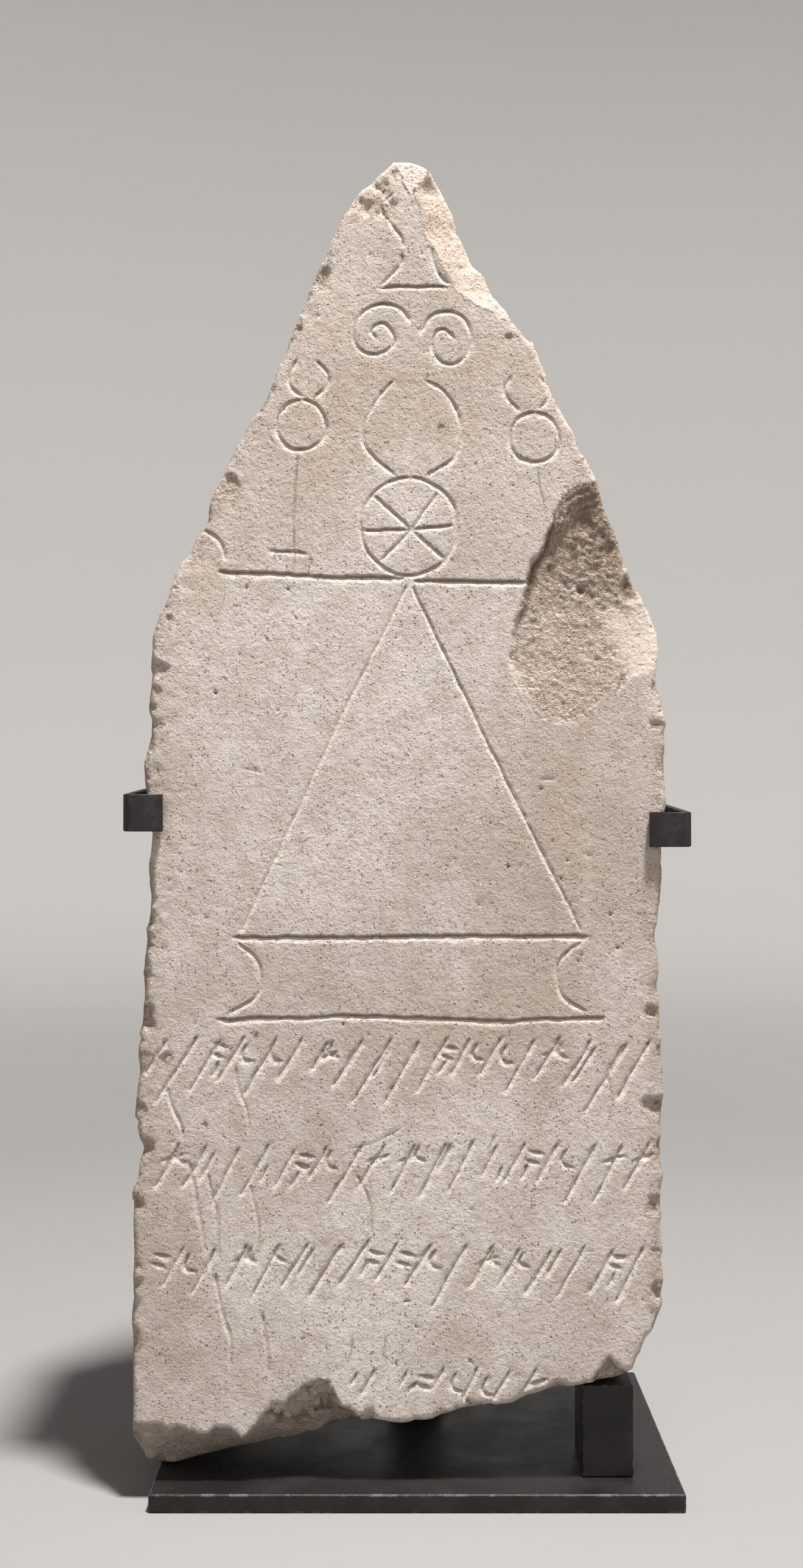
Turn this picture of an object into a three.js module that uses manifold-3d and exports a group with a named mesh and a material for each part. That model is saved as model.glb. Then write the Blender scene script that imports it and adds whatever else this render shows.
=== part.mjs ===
// A carved limestone stele with a gabled top and a broken foot, held upright by a black steel mount.
// Millimetres, X to the right, Y away from the viewer, Z up.
// The origin is the centre of the plate's underside.

import * as THREE from 'three';
import Module from 'manifold-3d';
import { mergeVertices } from 'three/addons/utils/BufferGeometryUtils.js';

const wasm = await Module();
wasm.setup();

// The stone
const stoneWidth = 173;
const stoneHeight = 431.2;
const stoneThickness = 70;
const arrisWear = 1.4;
const backRounding = 4;
const middleShare = 0.64;
const shoulderShare = 0.92;
const footStep = 20;
const footFlare = 3;
const flareHeight = 60;
const stonePitch = 9;

// The carving
const grooveWidth = 1.5;
const grooveDepth = 0.8;
const barGrooveWidth = 2;
const barGrooveDepth = 1;
const scratchWidth = 0.9;
const scratchDepth = 0.4;
const strokeWidth = 1.2;
const strokeDepth = 0.6;

// The mount
const plateWidth = 171.5;
const plateDepth = 130;
const plateThickness = 6;
const plateBevel = 0.8;
const faceSetback = 8;
const postWidth = 16.7;
const postDepth = 27;
const postSetback = 15;
const postBevel = 0.5;
const postCentre = 62.5;
const clipThickness = 2.5;
const clipBend = 3;
const clipRise = 4.5;
const leftClipHeight = 12.1;
const leftTabReach = 13;
const leftSideGap = 5.2;
const leftClipLevel = 223;
const rightClipHeight = 11.3;
const rightTabReach = 13.7;
const rightSideGap = 6.6;
const rightClipLevel = 217.6;
const barThickness = 6;
const barHeight = 22;
const barGap = 1.2;
const uprightWidth = 20;
const uprightDepth = 12;
const uprightOvertop = 8;
const fitGap = 0.3;

// The outlines below are drawn for a stone of this size and follow the real one.
const drawnWidth = 173;
const drawnHeight = 431.2;
const across = stoneWidth / drawnWidth;
const upward = stoneHeight / drawnHeight;

const face = faceSetback - plateDepth / 2;
const back = face + stoneThickness;
const seat = plateThickness + fitGap;

// Outline points are [across, height above the stone's lowest point].
const footArris = [
  [-92, 19], [-87, 19], [-78.5, 19], [-69, 16.5], [-60, 18.7], [-56.5, 15.6], [-49, 23], [-44, 26],
  [-37, 31], [-30, 34], [-24.6, 25.7], [-17.3, 19.8], [-4, 18.8], [3, 19.8], [8.3, 22.5], [31, 25.8],
  [43, 30.5], [51.7, 31.3], [65, 33.3], [70.4, 37.2],
];
const rightEdge = [
  [73, 43.5], [75.6, 49], [79.4, 58], [79.4, 85], [80.2, 128], [78.6, 182], [79.8, 198], [80.9, 246],
  [78.7, 262], [79.8, 269.5], [79.2, 275], [73.5, 290.5], [66.2, 305], [60.6, 321], [57, 329],
  [48.6, 346], [42.5, 359.7],
  [40.3, 366], [38.5, 371.3], [35, 372], [31.5, 379.7], [22, 393], [18.5, 396.4], [13.5, 409.2], [8, 420.5],
  [4, 427], [0.5, 429.7],
];
const leftEdge = [
  [-5, 431.2], [-8, 430], [-12.5, 425.2], [-19.5, 418.7], [-27.5, 405.7], [-35, 389.5], [-40, 377],
  [-50, 353], [-59.8, 335], [-64.5, 325.5], [-70.5, 310], [-80, 293.5], [-85.4, 278], [-87.2, 266],
  [-88.3, 230], [-87.2, 200], [-88.8, 166], [-90.4, 135], [-91.6, 118], [-88.8, 107.5], [-92.2, 93],
  [-91.8, 80], [-92.2, 50],
];
// Height of the underside behind the broken arris.
// The left tongue and the flat over the post carry the stone.
const footLevel = 30;
const tongueEnd = -80;
const underside = [
  [-92, 8], [-87, 0], [tongueEnd, 0], [-69, 3.3], [-57.5, 6], [-41, 8], [-32, 10.5], [-22, 16],
  [-16, 19], [3, 19.5], [19, 24], [31, 25.5], [43, footLevel], [73, footLevel],
];

// Height along a line of points at a place across
function levelAt(line, x) {
  if (x <= line[0][0]) return line[0][1];
  for (let i = 1; i < line.length; i++) {
    const [x0, z0] = line[i - 1];
    const [x1, z1] = line[i];
    if (x <= x1) return z0 + (z1 - z0) * (x - x0) / (x1 - x0);
  }
  return line[line.length - 1][1];
}

// Place across of one side of the stone at a height above the ground
function sideAt(edge, height) {
  const z = (height - seat) / upward;
  for (let i = 1; i < edge.length; i++) {
    const [x0, z0] = edge[i - 1];
    const [x1, z1] = edge[i];
    if ((z - z0) * (z - z1) <= 0 && z0 !== z1) return across * (x0 + (x1 - x0) * (z - z0) / (z1 - z0));
  }
  return across * edge[0][0];
}

// Smooth unevenness between -1 and 1
function unevenness(a, b) {
  const slow = Math.sin(a * 0.11 + b * 0.07 + 1.3) + Math.sin(a * 0.053 - b * 0.13);
  const quick = Math.sin(a * 0.37 + b * 0.29 + 2.1) + Math.sin(a * 0.71 - b * 0.43 + 0.6);
  return slow * 0.3 + quick * 0.2;
}

// The outline with extra points, so that no side is longer than the pitch
function walkOutline() {
  const corners = [...footArris, ...rightEdge, ...leftEdge];
  const walk = [];
  corners.forEach(([x, z], i) => {
    const [nextX, nextZ] = corners[(i + 1) % corners.length];
    const isFoot = i < footArris.length;
    const steps = Math.max(1, Math.round(Math.hypot(nextX - x, nextZ - z) / stonePitch));
    for (let s = 0; s < steps; s++) {
      const t = s / steps;
      walk.push({ x: x + (nextX - x) * t, z: z + (nextZ - z) * t, isFoot });
    }
  });
  return walk;
}

// One closed loop of the stone's skin: depth behind the face, inset from the outline, and wander
function stoneLoop(walk, { depth, inset, wander, drop, flare = 0, tilt = 0 }) {
  const count = walk.length;
  return walk.map((point, i) => {
    const before = walk[(i + count - 2) % count];
    const after = walk[(i + 2) % count];
    const run = new THREE.Vector2(after.x - before.x, after.z - before.z).normalize();
    const shift = wander * unevenness(i * 7, depth * 3) - inset;
    let x = point.x + run.y * shift;
    let z = point.z - run.x * shift;
    if (point.isFoot) {
      const under = levelAt(underside, point.x);
      x = point.x;
      z = point.z + (under - point.z) * drop + tilt;
    }
    const nearLeft = THREE.MathUtils.clamp((tongueEnd - point.x) / (tongueEnd - footArris[0][0]), 0, 1);
    x -= flare * nearLeft * Math.max(0, 1 - point.z / flareHeight);
    return new THREE.Vector3(x * across, face + depth, seat + z * upward);
  });
}

// A closed skin over loops that run anticlockwise as the viewer sees them, from front to back
function skinOver(loops) {
  const count = loops[0].length;
  const index = [];
  for (let k = 0; k < loops.length - 1; k++) {
    for (let i = 0; i < count; i++) {
      const j = (i + 1) % count;
      const a = k * count + i;
      const b = k * count + j;
      index.push(a, a + count, b + count, a, b + count, b);
    }
  }
  const last = (loops.length - 1) * count;
  capFaces(loops[0]).forEach(([a, b, c]) => index.push(a, b, c));
  capFaces(loops[loops.length - 1]).forEach(([a, b, c]) => index.push(last + a, last + c, last + b));
  return geometryOf(loops.flat().flatMap((p) => p.toArray()), index);
}

function geometryOf(coordinates, index) {
  const geometry = new THREE.BufferGeometry();
  geometry.setAttribute('position', new THREE.Float32BufferAttribute(coordinates, 3));
  geometry.setIndex(index);
  return geometry;
}

// Triangles over a loop, facing the viewer
function capFaces(loop) {
  const flat = loop.map((p) => new THREE.Vector2(p.x, p.z));
  return THREE.ShapeUtils.triangulateShape(flat, []).map(([a, b, c]) => {
    const turn = flat[b].clone().sub(flat[a]).cross(flat[c].clone().sub(flat[a]));
    return turn > 0 ? [a, b, c] : [a, c, b];
  });
}

function toSolid(geometry) {
  const bare = geometry.clone();
  bare.deleteAttribute('normal');
  bare.deleteAttribute('uv');
  const merged = mergeVertices(bare, 1e-4);
  return new wasm.Manifold(new wasm.Mesh({
    numProp: 3,
    vertProperties: new Float32Array(merged.attributes.position.array),
    triVerts: new Uint32Array(merged.index.array),
  }));
}

function toGeometry(solid) {
  const mesh = solid.getMesh();
  const geometry = geometryOf(mesh.vertProperties, Array.from(mesh.triVerts));
  geometry.computeVertexNormals();
  return geometry;
}

function onStone(x, z, depth) {
  return new THREE.Vector3(x * across, face + depth, seat + z * upward);
}

// A V-shaped groove along points on the face, with pointed ends
function groove(points, width = grooveWidth, depth = grooveDepth) {
  const lift = 0.5;
  const endShare = 0.3;
  const loops = points.map(([x, z], i) => {
    const [x0, z0] = points[Math.max(0, i - 1)];
    const [x1, z1] = points[Math.min(points.length - 1, i + 1)];
    const run = new THREE.Vector2(x1 - x0, z1 - z0).normalize();
    const share = i === 0 || i === points.length - 1 ? endShare : 1;
    const half = width / 2 * share * (1 + lift / (depth * share));
    return [
      onStone(x - run.y * half, z + run.x * half, -lift),
      onStone(x + run.y * half, z - run.x * half, -lift),
      onStone(x, z, depth * share),
    ];
  });
  const index = [0, 2, 1];
  for (let k = 0; k < loops.length - 1; k++) {
    for (let i = 0; i < 3; i++) {
      const a = k * 3 + i;
      const b = k * 3 + (i + 1) % 3;
      index.push(a, b, b + 3, a, b + 3, a + 3);
    }
  }
  const last = (loops.length - 1) * 3;
  index.push(last, last + 1, last + 2);
  return toSolid(geometryOf(loops.flat().flatMap((p) => p.toArray()), index));
}

// Points on a smooth curve through a few
function curve(points, steps) {
  const spline = new THREE.SplineCurve(points.map(([x, z]) => new THREE.Vector2(x, z)));
  return spline.getPoints(steps).map((p) => [p.x, p.y]);
}

// Points round a circle, ending just short of where it began
function ring(x, z, radius, steps) {
  const points = [];
  for (let i = 0; i <= steps; i++) {
    const turn = Math.PI * (0.5 + 1.985 * i / steps);
    points.push([x + radius * Math.cos(turn), z + radius * Math.sin(turn)]);
  }
  return points;
}

// The carved signs, from the top of the stone down
function signs() {
  const lines = [];
  const line = (...points) => lines.push(groove(points));
  const bend = (steps, ...points) => lines.push(groove(curve(points, steps)));
  const faint = (...points) => lines.push(groove(points, scratchWidth, scratchDepth));

  // The small sign at the top, a trapezoid with one raised arm
  line([-12.3, 388.8], [10.5, 389.2]);
  bend(4, [-12, 389.6], [-5.6, 396], [-4.8, 400]);
  bend(4, [10.2, 389.9], [7, 394.5], [4.9, 402]);
  bend(4, [-8, 419.2], [-11.5, 414.8], [-5, 405.7], [-4.4, 402]);

  // The two spirals
  bend(22, [-2, 377.7], [-5.5, 382.2], [-11.5, 383.5], [-18, 380.7], [-20.7, 373.7], [-18.5, 368.7],
    [-13.5, 366.9], [-8.5, 369.2], [-7.6, 373.2], [-11.3, 377.3], [-15, 374.7], [-13, 372]);
  bend(24, [0.8, 373.7], [4, 379], [9.5, 381.1], [15, 379.3], [17.8, 374.7], [17.3, 369.5], [14.5, 365.2],
    [10.5, 363.7], [7, 365.5], [5, 369.7], [6, 374.1], [9.3, 375.2], [12.7, 372]);

  // The open oval in the middle and the six-spoked wheel below it
  bend(9, [-8, 358.4], [-13, 352.5], [-16.8, 345.7], [-17.3, 338.7], [-14, 333.2], [-7.2, 327.3]);
  bend(9, [3.3, 358.2], [9, 354.5], [13.3, 347.7], [14.5, 340.2], [11.5, 332.7], [3.4, 327.4]);
  lines.push(groove(ring(-2.5, 310.5, 16, 24)));
  const hub = [-2, 309.5];
  const spokeEnds = [
    [-17.6, 308.9], [11.8, 310.7], [-14.3, 320.6], [6.6, 321.6], [-11.8, 299.4], [9.2, 299.6],
  ];
  spokeEnds.forEach((end) => line(hub, end));

  // The staff with a ring and horns on each side
  lines.push(groove(ring(-37.7, 343.7, 8.2, 16)));
  bend(4, [-39.5, 365.2], [-42, 360.7], [-41.5, 356.7], [-37.6, 352.9]);
  bend(4, [-32.5, 364.7], [-29, 360.2], [-29.8, 356.2], [-33.8, 352.6]);
  faint([-39, 334.6], [-40.4, 311]);
  lines.push(groove(ring(38.5, 339.7, 8.2, 16)));
  bend(4, [31, 359.7], [28.5, 355.7], [30, 352.2], [33.8, 348.3]);
  bend(4, [40.6, 359.2], [43.4, 355.4], [42.6, 352], [40, 348.9]);
  faint([39, 330.4], [41.5, 315.7]);

  // The long bar and the small strokes over its left end
  lines.push(groove([[-64.5, 295.7], [-30, 293.9], [-4, 293.4]], barGrooveWidth, barGrooveDepth));
  lines.push(groove([[-0.8, 292.6], [35.4, 292.1]], barGrooveWidth, barGrooveDepth));
  bend(5, [-70, 309], [-66.5, 307.7], [-63.5, 304.2], [-62.3, 299]);
  line([-48, 302.2], [-36, 301.7]);
  faint([-46.5, 303.8], [-46.5, 298.2]);
  faint([-40.2, 310.6], [-40, 296.6]);
  faint([-34.8, 301.4], [-34.8, 297]);

  // The tall triangle and its foot
  line([-3.4, 291.2], [-25, 247.7], [-57.4, 178.2]);
  line([-1.4, 290.4], [12.5, 261.7], [33, 219.7], [53.4, 178.6]);
  lines.push(groove([[-59.4, 176.3], [55.3, 176.9]], barGrooveWidth, barGrooveDepth));
  const footLine = [[-64.1, 149.6], [-25, 150.9], [30, 149.3], [60.6, 150.6]];
  lines.push(groove(footLine, barGrooveWidth, barGrooveDepth));
  bend(6, [-58.4, 174.6], [-51.4, 168.4], [-50.8, 161.3], [-53.2, 156.4], [-61.5, 151.5]);
  bend(6, [53.6, 175.2], [46.8, 169.7], [45.6, 163.7], [47.4, 157], [55.4, 152.4]);
  return lines;
}

// Rows of shallow slanted cuts in the field below, with short ticks, a small hook or an arc beside them
function strokeRows() {
  const rows = [
    { top: 143, from: -79, to: 70, tall: 1 },
    { top: 109.5, from: -81, to: 71, tall: 1 },
    { top: 76.5, from: -79, to: 69, tall: 1 },
    { top: 37, from: -15, to: 37, tall: 0.5 },
  ];
  const spacing = 9.6;
  const usualFall = 14;
  const fallSpread = 6;
  const longerBy = 4;
  const usualLean = 0.58;
  const leanSpread = 0.12;
  const kinds = 6;
  const cuts = [];
  const cut = (...points) => cuts.push(groove(points, strokeWidth, strokeDepth));
  rows.forEach(({ top, from, to, tall }, r) => {
    const count = Math.round((to - from) / spacing);
    for (let i = 0; i <= count; i++) {
      const x = from + (to - from) * i / count + 1.5 * unevenness(i * 11, r * 17);
      const z = top + 2.2 * unevenness(i * 5, r * 23);
      const kind = (i * 5 + r * 2 + Math.floor(i / 4)) % kinds;
      const longer = kind === 0 || kind === 3 ? longerBy : 0;
      const fall = (usualFall + fallSpread * unevenness(i * 19, r * 3) + longer) * tall;
      const lean = usualLean + leanSpread * unevenness(i * 9, r * 7);
      cut([x + fall * lean / 2, z], [x - fall * lean / 2, z - fall]);
      if (kind === 0) cut([x - 3.2, z - 1.2], [x - 3.2 - fall * lean * 0.5, z - 1.2 - fall * 0.5]);
      if (kind === 1) cut([x - 4.6, z - 0.8], [x - 6.2, z - 3.8], [x - 2.6, z - 5.6]);
      if (kind === 2) cut([x + 5.4, z - 3.4], [x - 1, z - 5.6]);
      if (kind === 3) cut([x - 4.2, z - 1.8], [x - 5.8, z - 4.4], [x - 5, z - 6.8], [x - 2.4, z - 7.4]);
      if (kind === 4) {
        cut([x - 5.4, z - 2.2], [x - 1, z - 3.2]);
        cut([x - 6.4, z - 5.2], [x - 2.4, z - 6.4]);
      }
      if (kind === 5) cut([x + 4.6, z - 7 * tall], [x + 1.8, z - 12 * tall]);
    }
  });
  return cuts;
}

// A broken hollow: a rim [across, height, depth just inside it], and a heart [across, height, depth]
function hollow(rim, heart, step = 2.5) {
  const lift = 3;
  const midway = 0.45;
  const count = rim.length;
  const [hx, hz, hd] = heart;
  const towards = (x, z, share) => [x + (hx - x) * share, z + (hz - z) * share];
  const points = [];
  rim.forEach(([x, z]) => points.push(onStone(x, z, -lift)));
  rim.forEach(([x, z]) => points.push(onStone(x, z, 0)));
  rim.forEach(([x, z, depth]) => {
    const share = step / Math.hypot(hx - x, hz - z);
    points.push(onStone(...towards(x, z, share), depth));
  });
  rim.forEach(([x, z, depth], i) => {
    const swell = hd * 0.1 * unevenness(i * 13, z);
    points.push(onStone(...towards(x, z, midway), depth * 0.4 + hd * 0.6 + swell));
  });
  points.push(onStone(hx, hz, hd));
  points.push(onStone(hx, hz, -lift));
  const index = [];
  for (let i = 0; i < count; i++) {
    const j = (i + 1) % count;
    for (let k = 0; k < 3; k++) {
      const a = k * count + i;
      const b = k * count + j;
      index.push(a, a + count, b + count, a, b + count, b);
    }
    index.push(3 * count + i, 4 * count, 3 * count + j);
    index.push(i, j, 4 * count + 1);
  }
  return toSolid(geometryOf(points.flatMap((p) => p.toArray()), index));
}

// A small chip with six uneven corners
function chip(x, z, wide, tall, depth) {
  const corners = 6;
  const firstTurn = 0.4;
  const ragged = 0.3;
  const wallStep = 0.8;
  const rim = [];
  for (let i = 0; i < corners; i++) {
    const turn = Math.PI * 2 * i / corners + firstTurn;
    const reach = 1 + ragged * unevenness(i * 17 + x, z);
    rim.push([x + wide / 2 * reach * Math.cos(turn), z + tall / 2 * reach * Math.sin(turn), depth / 2]);
  }
  return hollow(rim, [x, z, depth], wallStep);
}

// The breaks on the face: the large hollow on the right, the flaked gable and the chips along the edges
function breaks() {
  const largeHollow = hollow([
    [45, 320.5, 3], [40.5, 307, 3.6], [36.5, 299.5, 4], [34.8, 288, 3.6], [30.5, 276, 2.6],
    [29, 268.5, 1.8], [31, 261, 1], [35.5, 253, 0.8], [43, 247, 0.7], [53, 247.5, 0.7], [64, 250, 0.8],
    [84, 252, 2.4], [86, 285, 4], [76, 310, 6.5], [64, 327, 5], [56, 326.5, 3.2], [50, 324, 3],
  ], [58, 284, 5]);
  const flakedGable = hollow([
    [-2, 424.5, 1.5], [1, 415, 1.2], [4.2, 404, 1], [8.4, 394, 1], [11.6, 388.6, 1], [18, 385.4, 1.4],
    [27, 378.5, 1.6], [34, 371, 4], [44, 384, 12], [26, 412, 12], [12, 434, 12], [0, 436, 6],
  ], [15, 404, 6.5]);
  const tipFlake = hollow([
    [-8, 429, 1], [-2.4, 420, 0.6], [3, 425.6, 1.6], [2, 436, 4], [-8, 436, 4],
  ], [-2, 430, 2.6], 1);
  const cornerChip = hollow([
    [61.5, 41.4, 1.2], [56.5, 33.6, 3], [62, 28, 5], [71, 30, 5], [69, 36.6, 3],
  ], [63.5, 35, 3.6], 1);
  return [
    largeHollow, flakedGable, tipFlake, cornerChip,
    chip(-39, 375.3, 5, 5, 2.4),
    chip(-62.5, 324, 12, 13, 2),
    chip(-83.5, 262, 9, 11, 1.8),
    chip(-87, 196, 8, 12, 2),
    chip(-88.5, 109, 10, 8, 4),
    chip(-82, 137, 9, 9, 1.4),
    chip(75.5, 152, 8, 7, 3),
    chip(75.5, 121.5, 8, 7, 2.6),
    chip(76.5, 91, 9, 12, 2.6),
    chip(77, 60, 9, 18, 3.2),
    chip(8.3, 342.7, 5, 3.4, 1.6),
    chip(30.5, 372.6, 8, 3.6, 1.5),
  ];
}

// The slab: the worn arris, the widest loop, the foot's ridge, the middle and the rounded back
function makeStele() {
  const walk = walkOutline();
  const loops = [
    { depth: 0, inset: arrisWear, wander: 0.7, drop: 0 },
    { depth: 3, inset: 0, wander: 0, drop: 0.04 },
    { depth: footStep, inset: 0, wander: 0.8, drop: 1, flare: footFlare },
    { depth: stoneThickness * middleShare, inset: 0.5, wander: 1.4, drop: 1, flare: footFlare * 0.7 },
    { depth: stoneThickness * shoulderShare, inset: backRounding * 0.4, wander: 1.2, drop: 1, tilt: 1.5 },
    { depth: stoneThickness, inset: backRounding, wander: 1, drop: 1, tilt: backRounding },
  ].map((loop) => stoneLoop(walk, loop));
  const slab = toSolid(skinOver(loops));
  const carved = wasm.Manifold.difference([slab, ...breaks(), ...signs(), ...strokeRows()]);
  return toGeometry(carved);
}

// A rectangular block standing on a level, with its upper edges bevelled
function bevelledBlock(width, depth, height, bevel) {
  const outline = new THREE.Shape([
    new THREE.Vector2(-width / 2 + bevel, -depth / 2 + bevel),
    new THREE.Vector2(width / 2 - bevel, -depth / 2 + bevel),
    new THREE.Vector2(width / 2 - bevel, depth / 2 - bevel),
    new THREE.Vector2(-width / 2 + bevel, depth / 2 - bevel),
  ]);
  const block = new THREE.ExtrudeGeometry(outline, {
    depth: height - 2 * bevel,
    bevelEnabled: true,
    bevelThickness: bevel,
    bevelSize: bevel,
    bevelSegments: 1,
  });
  return block.translate(0, 0, bevel);
}

// A bent strap: along the stone's side, round the bend, and over the face.
// side is -1 on the left and 1 on the right.
function bentStrap({ side, inner, reach, height, level, far }) {
  const outer = inner + side * clipThickness;
  const frontFace = face - fitGap - clipThickness;
  const tabEnd = outer - side * reach;
  const bendStart = frontFace + clipBend;
  const profile = new THREE.Shape();
  profile.moveTo(inner, far);
  profile.lineTo(inner, frontFace + clipThickness);
  profile.lineTo(tabEnd, frontFace + clipThickness);
  profile.lineTo(tabEnd, frontFace);
  profile.lineTo(outer - side * clipBend, frontFace);
  profile.quadraticCurveTo(outer, frontFace, outer, bendStart);
  profile.lineTo(outer, far);
  profile.closePath();
  const strap = new THREE.ExtrudeGeometry(profile, { depth: height, bevelEnabled: false, curveSegments: 5 });
  const place = strap.attributes.position;
  for (let i = 0; i < place.count; i++) {
    const climb = clipRise * (place.getY(i) - frontFace) / (far - frontFace);
    place.setZ(i, level - height / 2 + place.getZ(i) + climb);
  }
  return strap;
}

const steel = { color: 0x151314, roughness: 0.55, metalness: 0.3 };

const limestoneMaterial = new THREE.MeshStandardMaterial({ color: 0xb3a79b, roughness: 0.92, metalness: 0 });

function addPiece(group, name, geometry, material) {
  const piece = new THREE.Mesh(geometry, material);
  piece.name = name;
  group.add(piece);
  return piece;
}

// The bar's ends meet the straps, and its level is where the straps arrive
const barFront = back + barGap;
const barBack = barFront + barThickness;
const barLevel = (leftClipLevel + rightClipLevel) / 2 + clipRise;
const leftInner = sideAt(leftEdge, leftClipLevel) - leftSideGap;
const rightInner = sideAt(rightEdge, rightClipLevel) + rightSideGap;

const object = new THREE.Group();

addPiece(object, 'stele', makeStele(), limestoneMaterial);

addPiece(object, 'base_plate', bevelledBlock(plateWidth, plateDepth, plateThickness, plateBevel),
  new THREE.MeshStandardMaterial(steel));

const postHeight = footLevel * upward - fitGap;
addPiece(object, 'foot_post', bevelledBlock(postWidth, postDepth, postHeight, postBevel),
  new THREE.MeshStandardMaterial(steel))
  .position.set(postCentre * across, postSetback - plateDepth / 2 + postDepth / 2, seat);

addPiece(object, 'left_clip', bentStrap({
  side: -1,
  inner: leftInner,
  reach: leftTabReach,
  height: leftClipHeight,
  level: leftClipLevel,
  far: barBack,
}), new THREE.MeshStandardMaterial(steel));

addPiece(object, 'right_clip', bentStrap({
  side: 1,
  inner: rightInner,
  reach: rightTabReach,
  height: rightClipHeight,
  level: rightClipLevel,
  far: barBack,
}), new THREE.MeshStandardMaterial(steel));

const barWidth = rightInner - leftInner - 2 * fitGap;
addPiece(object, 'cross_bar', bevelledBlock(barWidth, barThickness, barHeight, postBevel),
  new THREE.MeshStandardMaterial(steel))
  .position.set((leftInner + rightInner) / 2, (barFront + barBack) / 2, barLevel - barHeight / 2);

const uprightHeight = barLevel + barHeight / 2 + uprightOvertop - seat;
addPiece(object, 'rear_upright', bevelledBlock(uprightWidth, uprightDepth, uprightHeight, postBevel),
  new THREE.MeshStandardMaterial(steel))
  .position.set(0, barBack + fitGap + uprightDepth / 2, seat);

export default object;
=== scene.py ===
"""A carved limestone stele held upright by a black steel mount, on a pale floor."""

import math

import bmesh
import bpy
import numpy as np
from mathutils import Euler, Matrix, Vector
from mathutils.geometry import delaunay_2d_cdt
from mathutils.kdtree import KDTree


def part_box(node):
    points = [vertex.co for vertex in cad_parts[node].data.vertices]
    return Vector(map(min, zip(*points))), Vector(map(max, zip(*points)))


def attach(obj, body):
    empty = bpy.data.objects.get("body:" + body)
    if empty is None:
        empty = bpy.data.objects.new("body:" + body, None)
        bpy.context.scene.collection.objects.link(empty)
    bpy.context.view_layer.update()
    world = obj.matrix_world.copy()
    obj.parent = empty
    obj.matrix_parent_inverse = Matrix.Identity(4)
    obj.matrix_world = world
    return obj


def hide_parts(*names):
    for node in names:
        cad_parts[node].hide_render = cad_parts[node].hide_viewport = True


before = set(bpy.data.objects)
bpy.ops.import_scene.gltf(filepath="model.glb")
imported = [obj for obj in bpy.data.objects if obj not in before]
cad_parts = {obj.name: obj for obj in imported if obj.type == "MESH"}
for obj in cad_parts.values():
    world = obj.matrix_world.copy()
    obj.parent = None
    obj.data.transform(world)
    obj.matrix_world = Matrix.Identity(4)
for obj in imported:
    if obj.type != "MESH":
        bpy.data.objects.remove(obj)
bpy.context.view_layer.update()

MM = 0.001

# The stone is measured in mm: across, height above its lowest point, and depth behind its face.
DRAWN_HEIGHT = 431.2
stone_low, stone_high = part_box("stele")
UNIT = (stone_high.z - stone_low.z) / DRAWN_HEIGHT
FACE = stone_low.y
SEAT = stone_low.z
THICKNESS = (stone_high.y - stone_low.y) / UNIT
PLATE_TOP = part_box("base_plate")[1].z
REST = (PLATE_TOP - SEAT) / UNIT
POST_TOP = (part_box("foot_post")[1].z - SEAT) / UNIT

# The outline's corners, as (across, height): the foot's front edge and its underside, then both sides
FOOT_ARRIS = [
    (-92, 19), (-87, 19), (-78.5, 19), (-69, 16.5), (-60, 18.7), (-56.5, 15.6), (-49, 23), (-44, 26),
    (-37, 31), (-30, 34), (-24.6, 25.7), (-17.3, 19.8), (-4, 18.8), (3, 19.8), (8.3, 22.5), (31, 25.8),
    (43, 30.5), (51.7, 31.3), (65, 33.3), (70.4, 37.2),
]
UNDERSIDE = [
    (-92, 8), (-87, 0), (-80, 0), (-69, 3.3), (-57.5, 6), (-41, 8), (-32, 10.5), (-22, 16), (-16, 19),
    (3, 19.5), (19, 24), (31, 25.5), (43, 30), (73, 30),
]
RIGHT_EDGE = [
    (73, 43.5), (75.6, 49), (79.4, 58), (79.4, 85), (80.2, 128), (78.6, 182), (79.8, 198), (80.9, 246),
    (78.7, 262), (79.8, 269.5), (79.2, 275), (73.5, 290.5), (66.2, 305), (60.6, 321), (57, 329),
    (48.6, 346), (43.1, 359.1), (40, 367.3), (38.6, 371.6), (35.5, 371.8), (34.1, 375.4), (30.1, 382.7),
    (25.1, 387.2), (22.9, 393.3), (18.4, 398.1), (15.7, 404), (13.4, 409.4), (12.1, 414.4), (9.4, 419.4),
    (7.6, 422.6), (4.9, 426.4), (2.2, 429.6), (-1.9, 431),
]
LEFT_EDGE = [
    (-5.3, 431.2), (-7.8, 430.6), (-9.6, 428.7), (-12.3, 426.4), (-14.5, 423.7), (-18.1, 421.2),
    (-21.3, 417.1), (-27.5, 405.7), (-35, 389.5), (-40, 377),
    (-50, 353), (-59.8, 335), (-64.5, 325.5), (-70.5, 310), (-80, 293.5), (-85.4, 278), (-87.2, 266),
    (-88.3, 230), (-87.2, 200), (-88.8, 166), (-90.4, 135), (-91.6, 118), (-88.8, 107.5), (-92.2, 93),
    (-91.8, 80), (-92.2, 60),
]
LEFT_CORNER = [(-93.4, 36), (-94.8, 15), (-94, 8), (-90.5, 1.2)]

# The left and right end of the foot
FOOT_LEFT = -87
FOOT_RIGHT = 70.4

# The foot's break runs back this far under the face on the left, and fades out towards the middle.
LIP_DEPTH = 20
LIP_END = -14
LIP_FADE = 16

# Spacing of the points
OUTLINE_PITCH = 1.8
FACE_PITCH = 1.2
BREAK_PITCH = 0.64
GROOVE_PITCH = 0.9
BACK_PITCH = 3.4
LEAST_PITCH = 0.3
RIM_PITCH = 0.6
RIM_MARGIN = 0.75
LEAST_RIM_DEPTH = 1.2
WALL_ROWS = 22
SEED = 11

# The face is divided finely where it is at least this much broken.
FINE_FROM = 0.3


# Unevenness

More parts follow.
